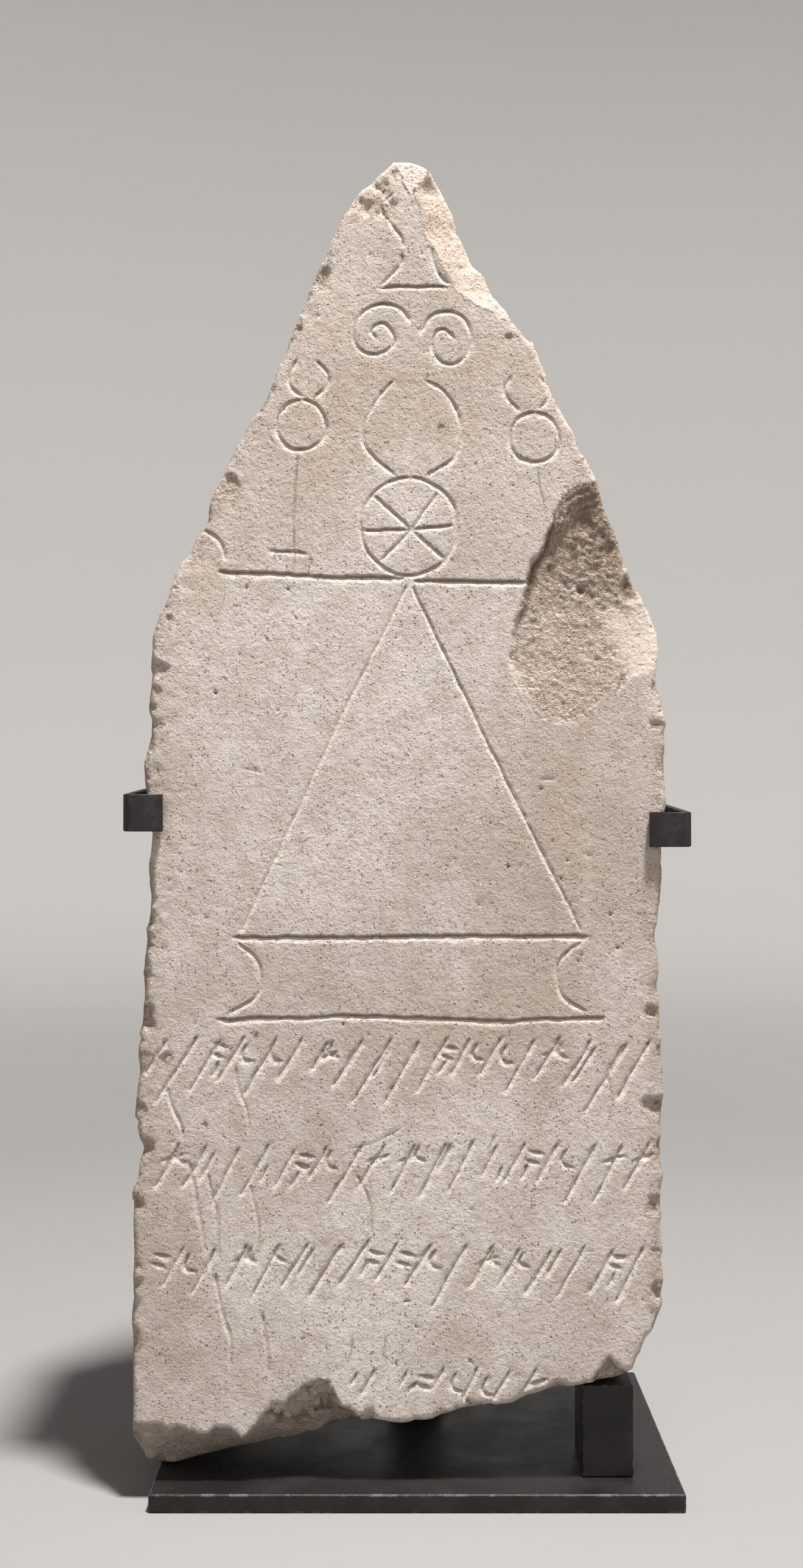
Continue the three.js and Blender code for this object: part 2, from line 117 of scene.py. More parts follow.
LATTICE_STEPS = (374761393, 668265263, 1442695041, 974634777)
STIRRERS = ((13, 1274126177), (15, 1103515245))
WORD = 0xFFFFFFFF
HALF_WORD = 0xFFFF


def lattice(ix, iy, iz, seed):
    """A fixed number from -1 to 1 for each corner of a lattice."""
    n = sum(part * step for part, step in zip((ix, iy, iz, seed), LATTICE_STEPS)) & WORD
    for shift, factor in STIRRERS:
        n = ((n ^ (n >> shift)) * factor) & WORD
    return ((n ^ (n >> 16)) & HALF_WORD) / (HALF_WORD / 2) - 1


def noise(points, size, seed):
    """Smooth noise between -1 and 1 whose lumps are size mm wide, size being one number or three."""
    scaled = points / np.asarray(size, float)
    cells = np.floor(scaled).astype(np.int64)
    part = scaled - cells
    part = part * part * (3 - 2 * part)
    total = np.zeros(len(points))
    for corner in range(8):
        step = np.array([corner >> 2 & 1, corner >> 1 & 1, corner & 1])
        weight = np.prod(np.where(step == 1, part, 1 - part), axis=1)
        total += weight * lattice(*(cells + step).T, seed)
    return total


def fractal(points, size, octaves, seed, fade=0.55):
    """Several noises on top of one another, each half the size of the one before."""
    total = np.zeros(len(points))
    strength = 1.0
    for octave in range(octaves):
        total += strength * noise(points, np.asarray(size, float) / 2 ** octave, seed + octave * 17)
        strength *= fade
    return total


def facets(points, size, seed):
    """Broken facets, each with a level and a tilt of its own, between about -1 and 1."""
    scaled = points / size
    home = np.floor(scaled).astype(np.int64)
    nearest = np.full(len(points), 1e9)
    value = np.zeros(len(points))
    for step in ((i, j) for i in (-1, 0, 1) for j in (-1, 0, 1)):
        ix, iz = (home + step).T
        draws = [lattice(ix, 0 * ix, iz, seed + k) for k in range(5)]
        across = scaled[:, 0] - ix - 0.5 - 0.45 * draws[0]
        up = scaled[:, 1] - iz - 0.5 - 0.45 * draws[1]
        gap = across ** 2 + up ** 2
        level = 0.6 * draws[2] + draws[3] * across + draws[4] * up
        value = np.where(gap < nearest, level, value)
        nearest = np.minimum(nearest, gap)
    return value


def flat(points):
    """The same points with a third coordinate of nought, for noise over the face."""
    return np.column_stack([points, np.zeros(len(points))])


def smooth(value):
    held = np.clip(value, 0, 1)
    return held * held * (3 - 2 * held)


def rise(value, start, width):
    """A smooth step from nought at the start up to one, as wide as it says."""
    return smooth((value - start) / width)


def fall(value, end, width):
    """A smooth step from one down to nought at the end, as wide as it says."""
    return smooth((end - value) / width)


def wave(a, b):
    """Smooth unevenness between -1 and 1 that places the strokes."""
    slow = math.sin(a * 0.11 + b * 0.07 + 1.3) + math.sin(a * 0.053 - b * 0.13)
    quick = math.sin(a * 0.37 + b * 0.29 + 2.1) + math.sin(a * 0.71 - b * 0.43 + 0.6)
    return slow * 0.3 + quick * 0.2


# Lines

def read_off(line, value):
    """What a line of pairs gives at a value of their first number."""
    given, found = np.array(line, float).T
    return np.interp(value, given, found)


def resample(points, pitch, closed=False):
    line = np.array(list(points) + (list(points[:1]) if closed else []), float)
    steps = np.hypot(*np.diff(line, axis=0).T)
    along = np.concatenate([[0], np.cumsum(steps)])
    count = max(2, round(along[-1] / pitch) + (0 if closed else 1))
    at = np.linspace(0, along[-1], count, endpoint=not closed)
    return np.column_stack([np.interp(at, along, line[:, i]) for i in range(2)])


def normals_of(line, closed=False):
    """Unit normals to the right of the way along a line, which is outwards on the outline."""
    if closed:
        run = np.roll(line, -2, axis=0) - np.roll(line, 2, axis=0)
    else:
        run = np.gradient(line, axis=0)
    run /= np.maximum(np.hypot(*run.T), 1e-9)[:, None]
    return np.column_stack([run[:, 1], -run[:, 0]])


def curve(points, steps):
    """Points on a smooth curve through a few."""
    given = np.array(points, float)
    last = len(given) - 1
    made = []
    for i in range(steps + 1):
        place = last * i / steps
        k = min(int(place), last - 1) if place < last else last
        t = place - k
        p0, p1 = given[max(k - 1, 0)], given[k]
        p2, p3 = given[min(k + 1, last)], given[min(k + 2, last)]
        v0, v1 = (p2 - p0) / 2, (p3 - p1) / 2
        cubic = (2 * p1 - 2 * p2 + v0 + v1) * t ** 3
        square = (3 * p2 - 3 * p1 - 2 * v0 - v1) * t ** 2
        made.append(tuple(cubic + square + v0 * t + p1))
    return made


def ring(x, z, radius, steps=40):
    turns = [math.pi * (0.5 + 1.985 * i / steps) for i in range(steps + 1)]
    return [(x + radius * math.cos(turn), z + radius * math.sin(turn)) for turn in turns]


# The outline

def lip_share(x):
    return np.clip((LIP_END - x) / LIP_FADE, 0, 1)


def lip_level(x):
    arris = read_off(FOOT_ARRIS, x)
    return arris + (read_off(UNDERSIDE, x) - arris) * lip_share(x)


def stone_outline():
    """The stone's outline as the viewer sees it, anticlockwise from the left end of its foot."""
    foot_x = sorted({x for x, _ in FOOT_ARRIS + UNDERSIDE if FOOT_LEFT <= x <= FOOT_RIGHT})
    foot = [(x, float(lip_level(np.array(x, float)))) for x in foot_x]
    corners = foot + RIGHT_EDGE + LEFT_EDGE + LEFT_CORNER
    line = resample(corners, OUTLINE_PITCH, closed=True)
    out = normals_of(line, closed=True)
    calm = np.where((line[:, 0] < -70) & (line[:, 1] < 12), 0.25, 1.0)
    calm *= 1 - 0.7 * smooth((line[:, 1] - 405) / 15)
    wander = 0.7 * fractal(flat(line), 11, 2, 5) + 0.5 * facets(line, 6, 9)
    moved = line + out * ((wander - 0.25) * calm)[:, None]
    moved[:, 1] = np.maximum(moved[:, 1], REST)
    return moved


# The carving

# Width and depth of the cuts
GROOVE = (1.7, 0.62)
BAR = (2.1, 0.85)
SCRATCH = (0.95, 0.26)
STROKE = (1.95, 0.76)
WANDERING = (1.7, 0.46)
NICK = (1.2, 0.9)


def carved_signs():
    """The signs from the top of the stone down, as [points, (width, depth)]."""
    lines = []

    def line(*points):
        lines.append((points, GROOVE))

    def bend(steps, *points):
        lines.append((curve(points, steps * 3), GROOVE))

    def faint(*points):
        lines.append((points, SCRATCH))

    # The small sign at the top, a trapezoid with one raised arm
    line((-12.3, 388.8), (10.5, 389.2))
    bend(4, (-12, 389.6), (-5.6, 396), (-4.8, 400))
    bend(4, (10.2, 389.9), (7, 394.5), (4.9, 402))
    bend(4, (-8, 419.2), (-11.5, 414.8), (-5, 405.7), (-4.4, 402))

    # The two spirals
    bend(22, (-2, 377.7), (-5.5, 382.2), (-11.5, 383.5), (-18, 380.7), (-20.7, 373.7), (-18.5, 368.7),
         (-13.5, 366.9), (-8.5, 369.2), (-7.6, 373.2), (-11.3, 377.3), (-15, 374.7), (-13, 372))
    bend(24, (0.8, 373.7), (4, 379), (9.5, 381.1), (15, 379.3), (17.8, 374.7), (17.3, 369.5),
         (14.5, 365.2), (10.5, 363.7), (7, 365.5), (5, 369.7), (6, 374.1), (9.3, 375.2), (12.7, 372))

    # The open oval in the middle and the six-spoked wheel below it
    bend(9, (-8, 358.4), (-13, 352.5), (-16.8, 345.7), (-17.3, 338.7), (-14, 333.2), (-7.2, 327.3))
    bend(9, (3.3, 358.2), (9, 354.5), (13.3, 347.7), (14.5, 340.2), (11.5, 332.7), (3.4, 327.4))
    lines.append((ring(-2.5, 310.5, 16, 72), GROOVE))
    for end in ((-17.6, 308.9), (11.8, 310.7), (-14.3, 320.6), (6.6, 321.6), (-11.8, 299.4), (9.2, 299.6)):
        line((-2, 309.5), end)

    # The staff with a ring and horns on each side
    lines.append((ring(-37.7, 343.7, 8.2), GROOVE))
    bend(4, (-39.5, 365.2), (-42, 360.7), (-41.5, 356.7), (-37.6, 352.9))
    bend(4, (-32.5, 364.7), (-29, 360.2), (-29.8, 356.2), (-33.8, 352.6))
    faint((-39, 334.6), (-40.4, 311))
    lines.append((ring(38.5, 339.7, 8.2), GROOVE))
    bend(4, (31, 359.7), (28.5, 355.7), (30, 352.2), (33.8, 348.3))
    bend(4, (40.6, 359.2), (43.4, 355.4), (42.6, 352), (40, 348.9))
    faint((39, 330.4), (41.5, 315.7))

    # The long bar and the small strokes over its left end
    lines.append((((-64.5, 295.7), (-30, 293.9), (-4, 293.4)), BAR))
    lines.append((((-0.8, 292.6), (35.4, 292.1)), BAR))
    bend(5, (-70, 309), (-66.5, 307.7), (-63.5, 304.2), (-62.3, 299))
    line((-48, 302.2), (-36, 301.7))
    faint((-46.5, 303.8), (-46.5, 298.2))
    faint((-40.2, 310.6), (-40, 296.6))
    faint((-34.8, 301.4), (-34.8, 297))

    # The tall triangle and its foot
    line((-3.4, 291.2), (-25, 247.7), (-57.4, 178.2))
    line((-1.4, 290.4), (12.5, 261.7), (33, 219.7), (53.4, 178.6))
    lines.append((((-59.4, 176.3), (55.3, 176.9)), BAR))
    lines.append((((-64.1, 149.6), (-25, 150.9), (30, 149.3), (60.6, 150.6)), BAR))
    bend(6, (-58.4, 174.6), (-51.4, 168.4), (-50.8, 161.3), (-53.2, 156.4), (-61.5, 151.5))
    bend(6, (53.6, 175.2), (46.8, 169.7), (45.6, 163.7), (47.4, 157), (55.4, 152.4))
    return lines


# Rows of strokes: level of their tops, where they start and end, and how tall they are
STROKE_ROWS = [(143, -79, 70, 1), (109.5, -81, 71, 1), (76.5, -79, 69, 1), (37, -15, 37, 0.5)]
STROKE_SPACING = 9.6


def stroke_rows():
    """Rows of shallow slanted cuts, with short ticks, a small hook or an arc beside them."""
    cuts = []

    def cut(*points):
        cuts.append((points, STROKE))

    for r, (top, start, end, tall) in enumerate(STROKE_ROWS):
        count = round((end - start) / STROKE_SPACING)
        for i in range(count + 1):
            x = start + (end - start) * i / count + 1.5 * wave(i * 11, r * 17)
            z = top + 2.2 * wave(i * 5, r * 23)
            kind = (i * 5 + r * 2 + i // 4) % 6
            fall = (14 + 6 * wave(i * 19, r * 3) + (4 if kind in (0, 3) else 0)) * tall
            lean = 0.58 + 0.12 * wave(i * 9, r * 7)
            cut((x + fall * lean / 2, z), (x - fall * lean / 2, z - fall))
            if kind == 0:
                cut((x - 3.2, z - 1.2), (x - 3.2 - fall * lean * 0.5, z - 1.2 - fall * 0.5))
            elif kind == 1:
                cut((x - 4.6, z - 0.8), (x - 6.2, z - 3.8), (x - 2.6, z - 5.6))
            elif kind == 2:
                cut((x + 5.4, z - 3.4), (x - 1, z - 5.6))
            elif kind == 3:
                arc = [(x - 4.2, z - 1.8), (x - 5.8, z - 4.4), (x - 5, z - 6.8), (x - 2.4, z - 7.4)]
                cut(*curve(arc, 6))
            elif kind == 4:
                cut((x - 5.4, z - 2.2), (x - 1, z - 3.2))
                cut((x - 6.4, z - 5.2), (x - 2.4, z - 6.4))
            elif kind == 5:
                cut((x + 4.6, z - 7 * tall), (x + 1.8, z - 12 * tall))
    return cuts


def wandering_scratches():
    """Long uneven scratches that run down from the stroke rows, and a few short ones."""
    runs = [
        [(-81.1, 128.3), (-78.7, 120.8), (-75.9, 114.7), (-76.3, 110.7)],
        [(-59, 134.4), (-57.6, 126.9), (-55.6, 122.2), (-54.6, 117.4), (-54.9, 113.4)],
        [(-73.9, 103.9), (-72.2, 96.5), (-70.8, 87.7), (-69.4, 80.9), (-68.4, 74.2)],
        [(-67.8, 99.8), (-66.4, 93.8), (-65, 88.4), (-64.2, 79.6), (-64, 72.8)],
        [(-54.2, 96.5), (-52.1, 88.4), (-51.1, 80.9), (-51.8, 72.8)],
        [(-19.6, 99.2), (-16.5, 94.4), (-15.1, 87.7), (-14.8, 79.6)],
        [(-65, 67.4), (-63.9, 60), (-62.2, 53.3), (-59.9, 44.8), (-60.7, 37.5)],
        [(-50.2, 54.5), (-49, 48), (-48, 42.7), (-48.4, 35.1)],
        [(61.8, 133.7), (62.8, 125.6), (62.5, 120.1), (61.5, 112.7)],
        [(25.1, 112.7), (23.8, 108), (22.7, 104.2)],
    ]
    fine = [
        [(-20.7, 48), (-21.3, 43.3), (-22.2, 39.8)],
        [(-10.4, 48), (-10.7, 43.3), (-11, 39.8)],
        [(53.6, 75.5), (57.6, 74.8)],
        [(63.4, 73.5), (69.2, 73)],
        [(-21.6, 108), (-14.1, 110), (-5.3, 114.7)],
        [(-57, 231.5), (-50.5, 229.8)],
        [(46, 188.4), (51.5, 187.7)],
        [(39.5, 228), (45.5, 227.6)],
    ]
    made = [(curve(points, 24), WANDERING) for points in runs]
    made += [(curve(points, 10), SCRATCH) for points in fine]
    made.append((((68.7, 262.6), (66.8, 260.2), (65.3, 256.5)), NICK))
    return made


# Length over which a groove runs out at each end, and the depth from which its dirt, painted shade and
# painted highlight are at full strength
END_TAPER = 1.6
FULLY_MARKED_FROM = 0.38


def sampled_grooves():
    """Every groove as its middle line, its normals, and half its width and its depth at each point."""
    grooves = []
    for k, (points, (width, depth)) in enumerate(carved_signs() + stroke_rows() + wandering_scratches()):
        line = resample(points, GROOVE_PITCH)
        across = normals_of(line)
        closeness = np.minimum(np.arange(len(line)), np.arange(len(line))[::-1]) * GROOVE_PITCH
        ends = 0.3 + 0.7 * smooth(closeness / END_TAPER)
        line = line + across * (0.26 * fractal(flat(line), 6, 3, 40 + k))[:, None]
        swell = 1 + 0.2 * fractal(flat(line), 6, 3, 300 + k)
        half = width / 2 * np.clip(swell, 0.75, 1.35) * (0.6 + 0.4 * ends)
        deep = depth * np.clip(1 + 0.22 * fractal(flat(line), 5, 2, 700 + k), 0.7, 1.4) * ends
        grooves.append((line, across, half, deep))
    return grooves


# A groove's upper wall is short and darkened with painted shade, its lower wall long and worn, with a
# painted highlight.
WORN_LEAN = 0.45
BEYOND = 0.45


def leaning(up):
    """Share by which a wall is shorter, for how far its side of the groove faces up."""
    return WORN_LEAN * np.sign(up) * np.sqrt(np.abs(up))


def groove_points(grooves):
    """Points along each groove: its bottom, its edges, just beyond them, and on its lower wall."""
    found = []
    for line, across, half, _ in grooves:
        found.append(line)
        for side in (-1, 1):
            reach = half * (1 - leaning(side * across[:, 1]))
            found.append(line + across * (side * reach)[:, None])
            found.append(line + across * (side * (reach + BEYOND))[:, None])
        low_side = np.where(across[:, 1] > 0, -1, 1)
        found.append(line + across * (low_side * half * 0.42)[:, None])
    return np.vstack(found)


def groove_depths(points, grooves):
    """How deep the grooves cut at each point, their dirt and painted shade, and the painted highlight on
    their lower walls.
    """
    depth = np.zeros(len(points))
    dirt_and_shade = np.zeros(len(points))
    lit_lips = np.zeros(len(points))
    for line, _, half, deep in grooves:
        reach = half.max() * (1 + WORN_LEAN) + BEYOND
        low, high = line.min(axis=0) - reach, line.max(axis=0) + reach
        near = np.flatnonzero(np.all((points >= low) & (points <= high), axis=1))
        if not len(near):
            continue
        spot = points[near]
        ragged = 1 + 0.25 * noise(flat(spot), 1.5, 43)
        profile = np.zeros(len(near))
        stain_and_shade = np.zeros(len(near))
        lip = np.zeros(len(near))
        for i in range(len(line) - 1):
            a, run = line[i], line[i + 1] - line[i]
            t = np.clip(((spot - a) @ run) / max(run @ run, 1e-9), 0, 1)
            off = spot - (a + t[:, None] * run)
            gap = np.hypot(*off.T)
            up = off[:, 1] / np.maximum(gap, 1e-6)
            wide = (half[i] + (half[i + 1] - half[i]) * t) * (1 - leaning(up)) * ragged
            here = deep[i] + (deep[i + 1] - deep[i]) * t
            strong = np.minimum(here / FULLY_MARKED_FROM, 1)
            profile = np.maximum(profile, here * np.clip(1 - gap / wide, 0, 1))
            # Dirt with painted shade: all across the upper wall, which faces away from the light, and only
            # near the bottom of the lower wall
            above = np.clip(2.2 - 1.8 * gap / wide, 0, 1)
            below = np.clip(1 - gap / (0.45 * wide), 0, 1)
            lower = smooth(-2.2 * up) * (gap > 0.05)
            stain_and_shade = np.maximum(stain_and_shade, strong * (above + (below - above) * lower))
            # Painted highlight along the lower wall, which faces up towards the light
            edge = np.clip((gap / wide - 0.1) / 0.3, 0, 1) * np.clip(1 - (gap - wide) / BEYOND, 0, 1)
            lip = np.maximum(lip, strong * edge * lower)
        depth[near] = np.maximum(depth[near], profile)
        dirt_and_shade[near] = np.maximum(dirt_and_shade[near], stain_and_shade)
        lit_lips[near] = np.maximum(lit_lips[near], lip)
    return depth, dirt_and_shade, lit_lips


# The breaks

# A hollow is a rim of (across, height, depth just inside it) and a heart (across, height, depth).
LARGE_HOLLOW = [
    (57.7, 326, 1.3), (53, 324.8, 1.3), (47.9, 322, 1.6), (45.3, 316.8, 2.5), (43.2, 310.6, 3.1),
    (41.1, 303.9, 3.3), (37.5, 299.7, 3.3), (36, 294.6, 3.1), (32.8, 281.1, 2.8), (30.8, 272.8, 2.2),
    (29.7, 267.7, 1.6), (32.3, 259.4, 0.9), (35.4, 253.2, 0.6), (40, 247, 0.5), (45, 245.3, 0.5),
    (51, 245.5, 0.4), (57, 249.6, 0.15), (64, 255, 0.1), (72, 261, 0.1), (86, 266, 0.3),
    (88, 285, 2.4), (78, 310, 3), (66, 330, 1.6),
]
LARGE_HEART = (59, 284, 5)
# The hollow's right edge is bevelled outwards from this line, as (height, across).
HOLLOW_BEVEL = [
    (262, 84), (270, 78), (274.9, 74.6), (281.6, 71), (287.3, 68.5), (297.7, 66), (308, 64), (320, 60),
]
# Scoops within the hollow: across, height, half width, half height, depth
HOLLOW_SCOOPS = [
    (69.8, 290.5, 3.6, 5.4, 2.6), (53.8, 289.7, 1.8, 1.6, 0.9), (62, 303, 3, 3.4, 0.7),
    (55, 311, 4, 3, 0.5),
    (67, 259.6, 1.4, 3.4, 0.7), (44, 296, 2.4, 3, 0.5), (58, 297, 2.6, 2.2, 0.5),
]
# The gable's flake slopes away to the right of this ridge, as (height, across).
GABLE_RIDGE = [
    (372, 41), (378, 33), (380, 28.5), (382, 21.4), (385.4, 16), (388.1, 11.6), (392.6, 9.7), (397.1, 7.5),
    (402.1, 4.8), (407.1, 2.1), (412.9, 0.6), (419.5, -1.7), (422.4, -0.1), (425.6, 2.8), (428, 5),
]
FLAKE_SLOPE = 0.33
# A flat facet with a pointed foot at the very top
TIP_FACET = [
    (-5.9, 427.7), (-4.2, 425.1), (-3.3, 421.5), (-1.7, 419.5), (-0.1, 422.4), (2.8, 425.6), (5, 433),
    (-7, 433),
]
# The foot of the facet, and its legs as (height, across)
TIP_FOOT = 419.5
TIP_LEFT_LEG = [(z, x) for x, z in TIP_FACET[3::-1]]
TIP_RIGHT_LEG = [(z, x) for x, z in TIP_FACET[3:6]] + [(430, 4.2)]
CORNER_CHIP = [(61.9, 41.1, 1.2), (56.5, 33.2, 3), (60, 27, 5), (71, 30, 5), (67.6, 36.4, 3)]
CORNER_HEART = (63.5, 35, 3.6)

# Chips: across, height, width, height of the chip, depth. Those this far out lie along the sides,
# and taper off outwards at this share of the usual rate.
SIDE_CHIPS = 72
SIDE_TAPER = 0.25
CHIPS = [
    (-39, 375.3, 5, 5, 1.4), (-62.5, 324, 13, 12, 1.3), (-83.5, 263.5, 9, 8, 1.5), (-87.5, 196, 6, 14, 1.4),
    (-89, 108.5, 8, 7, 2.6), (-82, 137, 8, 7, 0.9), (76.2, 152, 7, 7, 1.8), (76, 122, 8, 7, 2),
    (77, 89, 8, 10, 1.9), (77.4, 62, 7, 11, 2.2), (8.3, 342.7, 4.4, 2.6, 0.9), (30.5, 372.6, 13, 2.8, 1.3),
    (-80.2, 290, 6, 4, 1.2), (-81.5, 280.5, 7, 4, 1.1), (-85.2, 256.6, 5, 4, 1.2), (-86.6, 251, 5, 3, 1.1),
    (-84.7, 245.5, 6, 3, 1), (-76.9, 248.3, 4, 2, 0.6), (-87.6, 228.5, 5, 7, 1), (-88, 148.6, 6, 7, 1.2),
    (-89.2, 120, 6, 7, 1.2), (-89.6, 89.7, 5, 5, 1.2), (-90.6, 64.1, 5, 7, 1.3), (-92.5, 42, 4, 8, 1.2),
    (77.8, 175.8, 5, 8, 1.5), (79, 139.8, 6, 5, 1.3), (78.8, 108.6, 6, 6, 1.7), (79.5, 232, 5, 9, 1.2),
    (79, 258, 6, 9, 1.8), (79.4, 245.5, 8, 3, 1.6), (77.8, 51.2, 5, 6, 1.6), (45.5, 352, 5, 4, 1),
    (-17.5, 417, 8, 2.4, 1.1), (-11, 411.5, 7, 3, 0.9), (-12, 416, 7, 2.2, 1.2), (-27, 408.5, 5, 4, 0.8),
    (-7.6, 425.4, 2.2, 5.4, 1.2), (-38.2, 375.6, 2.4, 2.6, 0.9),
    (-45.5, 24.2, 7, 4.6, 1.4), (-68.5, 115.7, 7, 1.8, 0.6),
    (-48.6, 19.2, 5, 4, 1.2), (-84.5, 17.5, 4, 3, 1), (38, 25.5, 8, 4, 1.2), (19, 25, 7, 3.4, 1),
    (-7, 18.5, 8, 3.4, 1), (36, 351, 7, 5, 0.6), (53, 331, 6, 4, 0.9), (-32.5, 26, 6, 5, 1),
    (76.4, 75, 4, 4, 1), (-86, 176, 5, 7, 0.8),
]

# Pits that stand out by themselves: across, height, radius, depth
PITS = [
    (40.4, 224.5, 0.6, 0.8), (46.8, 195.7, 0.8, 0.9), (65.2, 173, 0.75, 1.1), (48.9, 201.2, 0.6, 0.7),
    (71.3, 195.2, 0.35, 0.6), (62.8, 183.6, 0.55, 0.6), (53.4, 170.6, 0.6, 0.7), (52.4, 168.5, 0.55, 0.6),
    (33.7, 199.3, 0.4, 0.5), (55.8, 203, 0.8, 0.5), (44.2, 207.5, 0.45, 0.6), (64.7, 218.1, 0.4, 0.5),
    (-24, 148.3, 0.8, 1), (-60.4, 140.1, 0.4, 0.5), (-0.4, 50.6, 0.6, 0.9), (6.8, 102.7, 0.5, 0.6),
    (26.4, 53.6, 0.4, 0.5), (-3.4, 58.8, 0.35, 0.5), (-37.2, 46.6, 0.5, 0.7), (17.1, 39.3, 0.5, 0.7),
    (-6.9, 38.9, 0.5, 0.6), (5.4, 44.9, 0.4, 0.5), (-55.4, 290.4, 0.55, 0.8), (-41.9, 289.7, 0.7, 0.7),
    (-65.5, 255.8, 0.8, 0.8), (-57.7, 268.6, 1, 0.6), (-39.4, 280.6, 0.45, 0.6), (-49.1, 273.6, 0.4, 0.5),
    (-45.2, 250.2, 0.6, 0.6), (-52.1, 239.7, 0.5, 0.6), (53.8, 289.7, 1.8, 1.2), (-15.3, 399.7, 0.7, 0.8),
    (-32.1, 379.6, 0.5, 0.6), (1.7, 399.8, 0.5, 0.6), (29.8, 199.5, 0.8, 1), (-7, 274, 0.6, 0.6),
    (-2.5, 315.5, 0.6, 0.7), (20, 187, 0.9, 0.5), (11.5, 299.5, 0.9, 0.8),
]
# How many pits there are with the scattered ones, and where those lie and how wide they are
PIT_COUNT = 75
PITTED_ACROSS = (-88, 78)
PITTED_HEIGHT = (30, 395)
PIT_RADIUS = (0.4, 0.8)

# Thin ledges at the top of the large hollow: how far inside its rim, and how deep each drops
TERRACES = [(0, 0.6), (2.8, 0.75), (5.4, 0.85), (8.2, 1.1)]
TREAD_SLOPE = 0.1
LEDGES_FROM = 306

# Part of the way from a hollow's rim to its heart at which the floor levels out
SHELF = 0.45


def hollow_depths(points, rim, heart, wall, ragged, seed, terraces=False):
    """Depth of a broken hollow, and how far inside its rim each point lies, both nought outside it."""
    corners = np.array(rim, float)
    middle = np.array(heart[:2])
    turn = np.unwrap(np.arctan2(corners[:, 1] - middle[1], corners[:, 0] - middle[0]))
    if turn[-1] < turn[0]:
        corners, turn = corners[::-1], turn[::-1]
    corners = np.vstack([corners, corners[:1]])
    turn = np.append(turn, turn[0] + 2 * math.pi)
    away = points - middle
    radius = np.hypot(*away.T)
    angle = turn[0] + np.mod(np.arctan2(away[:, 1], away[:, 0]) - turn[0], 2 * math.pi)
    k = np.clip(np.searchsorted(turn, angle, side="right") - 1, 0, len(turn) - 2)
    a, b = corners[k, :2] - middle, corners[k + 1, :2] - middle
    ray = np.column_stack([np.cos(angle), np.sin(angle)])
    side = b - a
    skew = ray[:, 0] * side[:, 1] - ray[:, 1] * side[:, 0]
    skew = np.where(np.abs(skew) < 1e-9, 1e-9, skew)
    rim_radius = (a[:, 0] * side[:, 1] - a[:, 1] * side[:, 0]) / skew
    spot = middle + ray * rim_radius[:, None]
    t = np.clip(np.hypot(*(spot - corners[k, :2]).T) / np.maximum(np.hypot(*side.T), 1e-9), 0, 1)
    rim_depth = corners[k, 2] + (corners[k + 1, 2] - corners[k, 2]) * t
    rim_radius = rim_radius + ragged * fractal(flat(spot), 6, 3, seed)
    inside = rim_radius - radius
    share = np.clip(inside / np.maximum(rim_radius, 1e-6), 0, 1)
    middle_depth = 0.4 * rim_depth + 0.6 * heart[2]
    floor = rim_depth + (middle_depth - rim_depth) * np.minimum(share / SHELF, 1)
    floor += (heart[2] - middle_depth) * np.maximum((share - SHELF) / (1 - SHELF), 0)
    depth = floor * smooth(inside / wall)
    if terraces:
        high = rise(points[:, 1], LEDGES_FROM, 6) * fall(inside, 10, 4)
        ledges = sum(drop * smooth((inside - at) / 0.5) for at, drop in TERRACES) - TREAD_SLOPE * inside
        depth += high * (ledges - depth)
    return np.where(inside > 0, depth, 0), np.maximum(inside, 0)


def chip_depths(points, chips):
    """Depth of the scooped chips, which along the sides are open to the outside."""
    depth = np.zeros(len(points))
    broken = facets(points, 2.8, 63)
    ragged = 0.28 * fractal(flat(points), 4.5, 3, 61) + 0.16 * broken
    for x, z, wide, tall, deep in chips:
        off = points[:, 0] - x
        if abs(x) > SIDE_CHIPS:
            off = np.where(off * x > 0, SIDE_TAPER * off, off)
        reach = np.hypot(off * 2 / wide, (points[:, 1] - z) * 2 / tall)
        near = reach < 1.6
        rough = reach[near] + ragged[near]
        scoop = deep * np.clip(1.5 - 1.5 * rough, 0, 1) * (1 + 0.3 * broken[near])
        depth[near] = np.maximum(depth[near], scoop)
    return depth


def pit_places(rng):
    """The pits that stand out, and smaller ones scattered over the face, each an ellipse on a slant."""
    spots = [(x, z, r, d, rng.uniform(0, math.pi), rng.uniform(0.5, 0.9)) for x, z, r, d in PITS]
    while len(spots) < PIT_COUNT:
        x, z = rng.uniform(*PITTED_ACROSS), rng.uniform(*PITTED_HEIGHT)
        radius = rng.uniform(*PIT_RADIUS)
        deep = radius * rng.uniform(0.5, 0.8)
        spots.append((x, z, radius, deep, rng.uniform(0, math.pi), rng.uniform(0.45, 0.9)))
    return np.array(spots)


def pit_points(pits, rng):
    """A point in the middle of each pit and five uneven ones round it."""
    found = [pits[:, :2]]
    for i in range(5):
        turn = 2 * math.pi * i / 5 + rng.uniform(-0.4, 0.4, len(pits))
        reach = pits[:, 2] * rng.uniform(0.7, 1.3, len(pits))
        along, over = np.cos(turn) * reach, np.sin(turn) * reach * pits[:, 5]
        lean = pits[:, 4]
        found.append(pits[:, :2] + np.column_stack([
            along * np.cos(lean) - over * np.sin(lean), along * np.sin(lean) + over * np.cos(lean),
        ]))
    return np.vstack(found)


def pit_depths(points, pits):
    """How deep the pits are at each point, each a cone."""
    depth = np.zeros(len(points))
    for x, z, radius, deep, lean, share in pits:
        off = points - (x, z)
        near = np.flatnonzero(np.abs(off).max(axis=1) < radius * 1.3)
        dx, dz = off[near].T
        along = dx * math.cos(lean) + dz * math.sin(lean)
        over = dz * math.cos(lean) - dx * math.sin(lean)
        gap = np.hypot(along, over / share) / radius
        depth[near] = np.maximum(depth[near], deep * np.clip(1 - gap, 0, 1))
    return depth


# The face

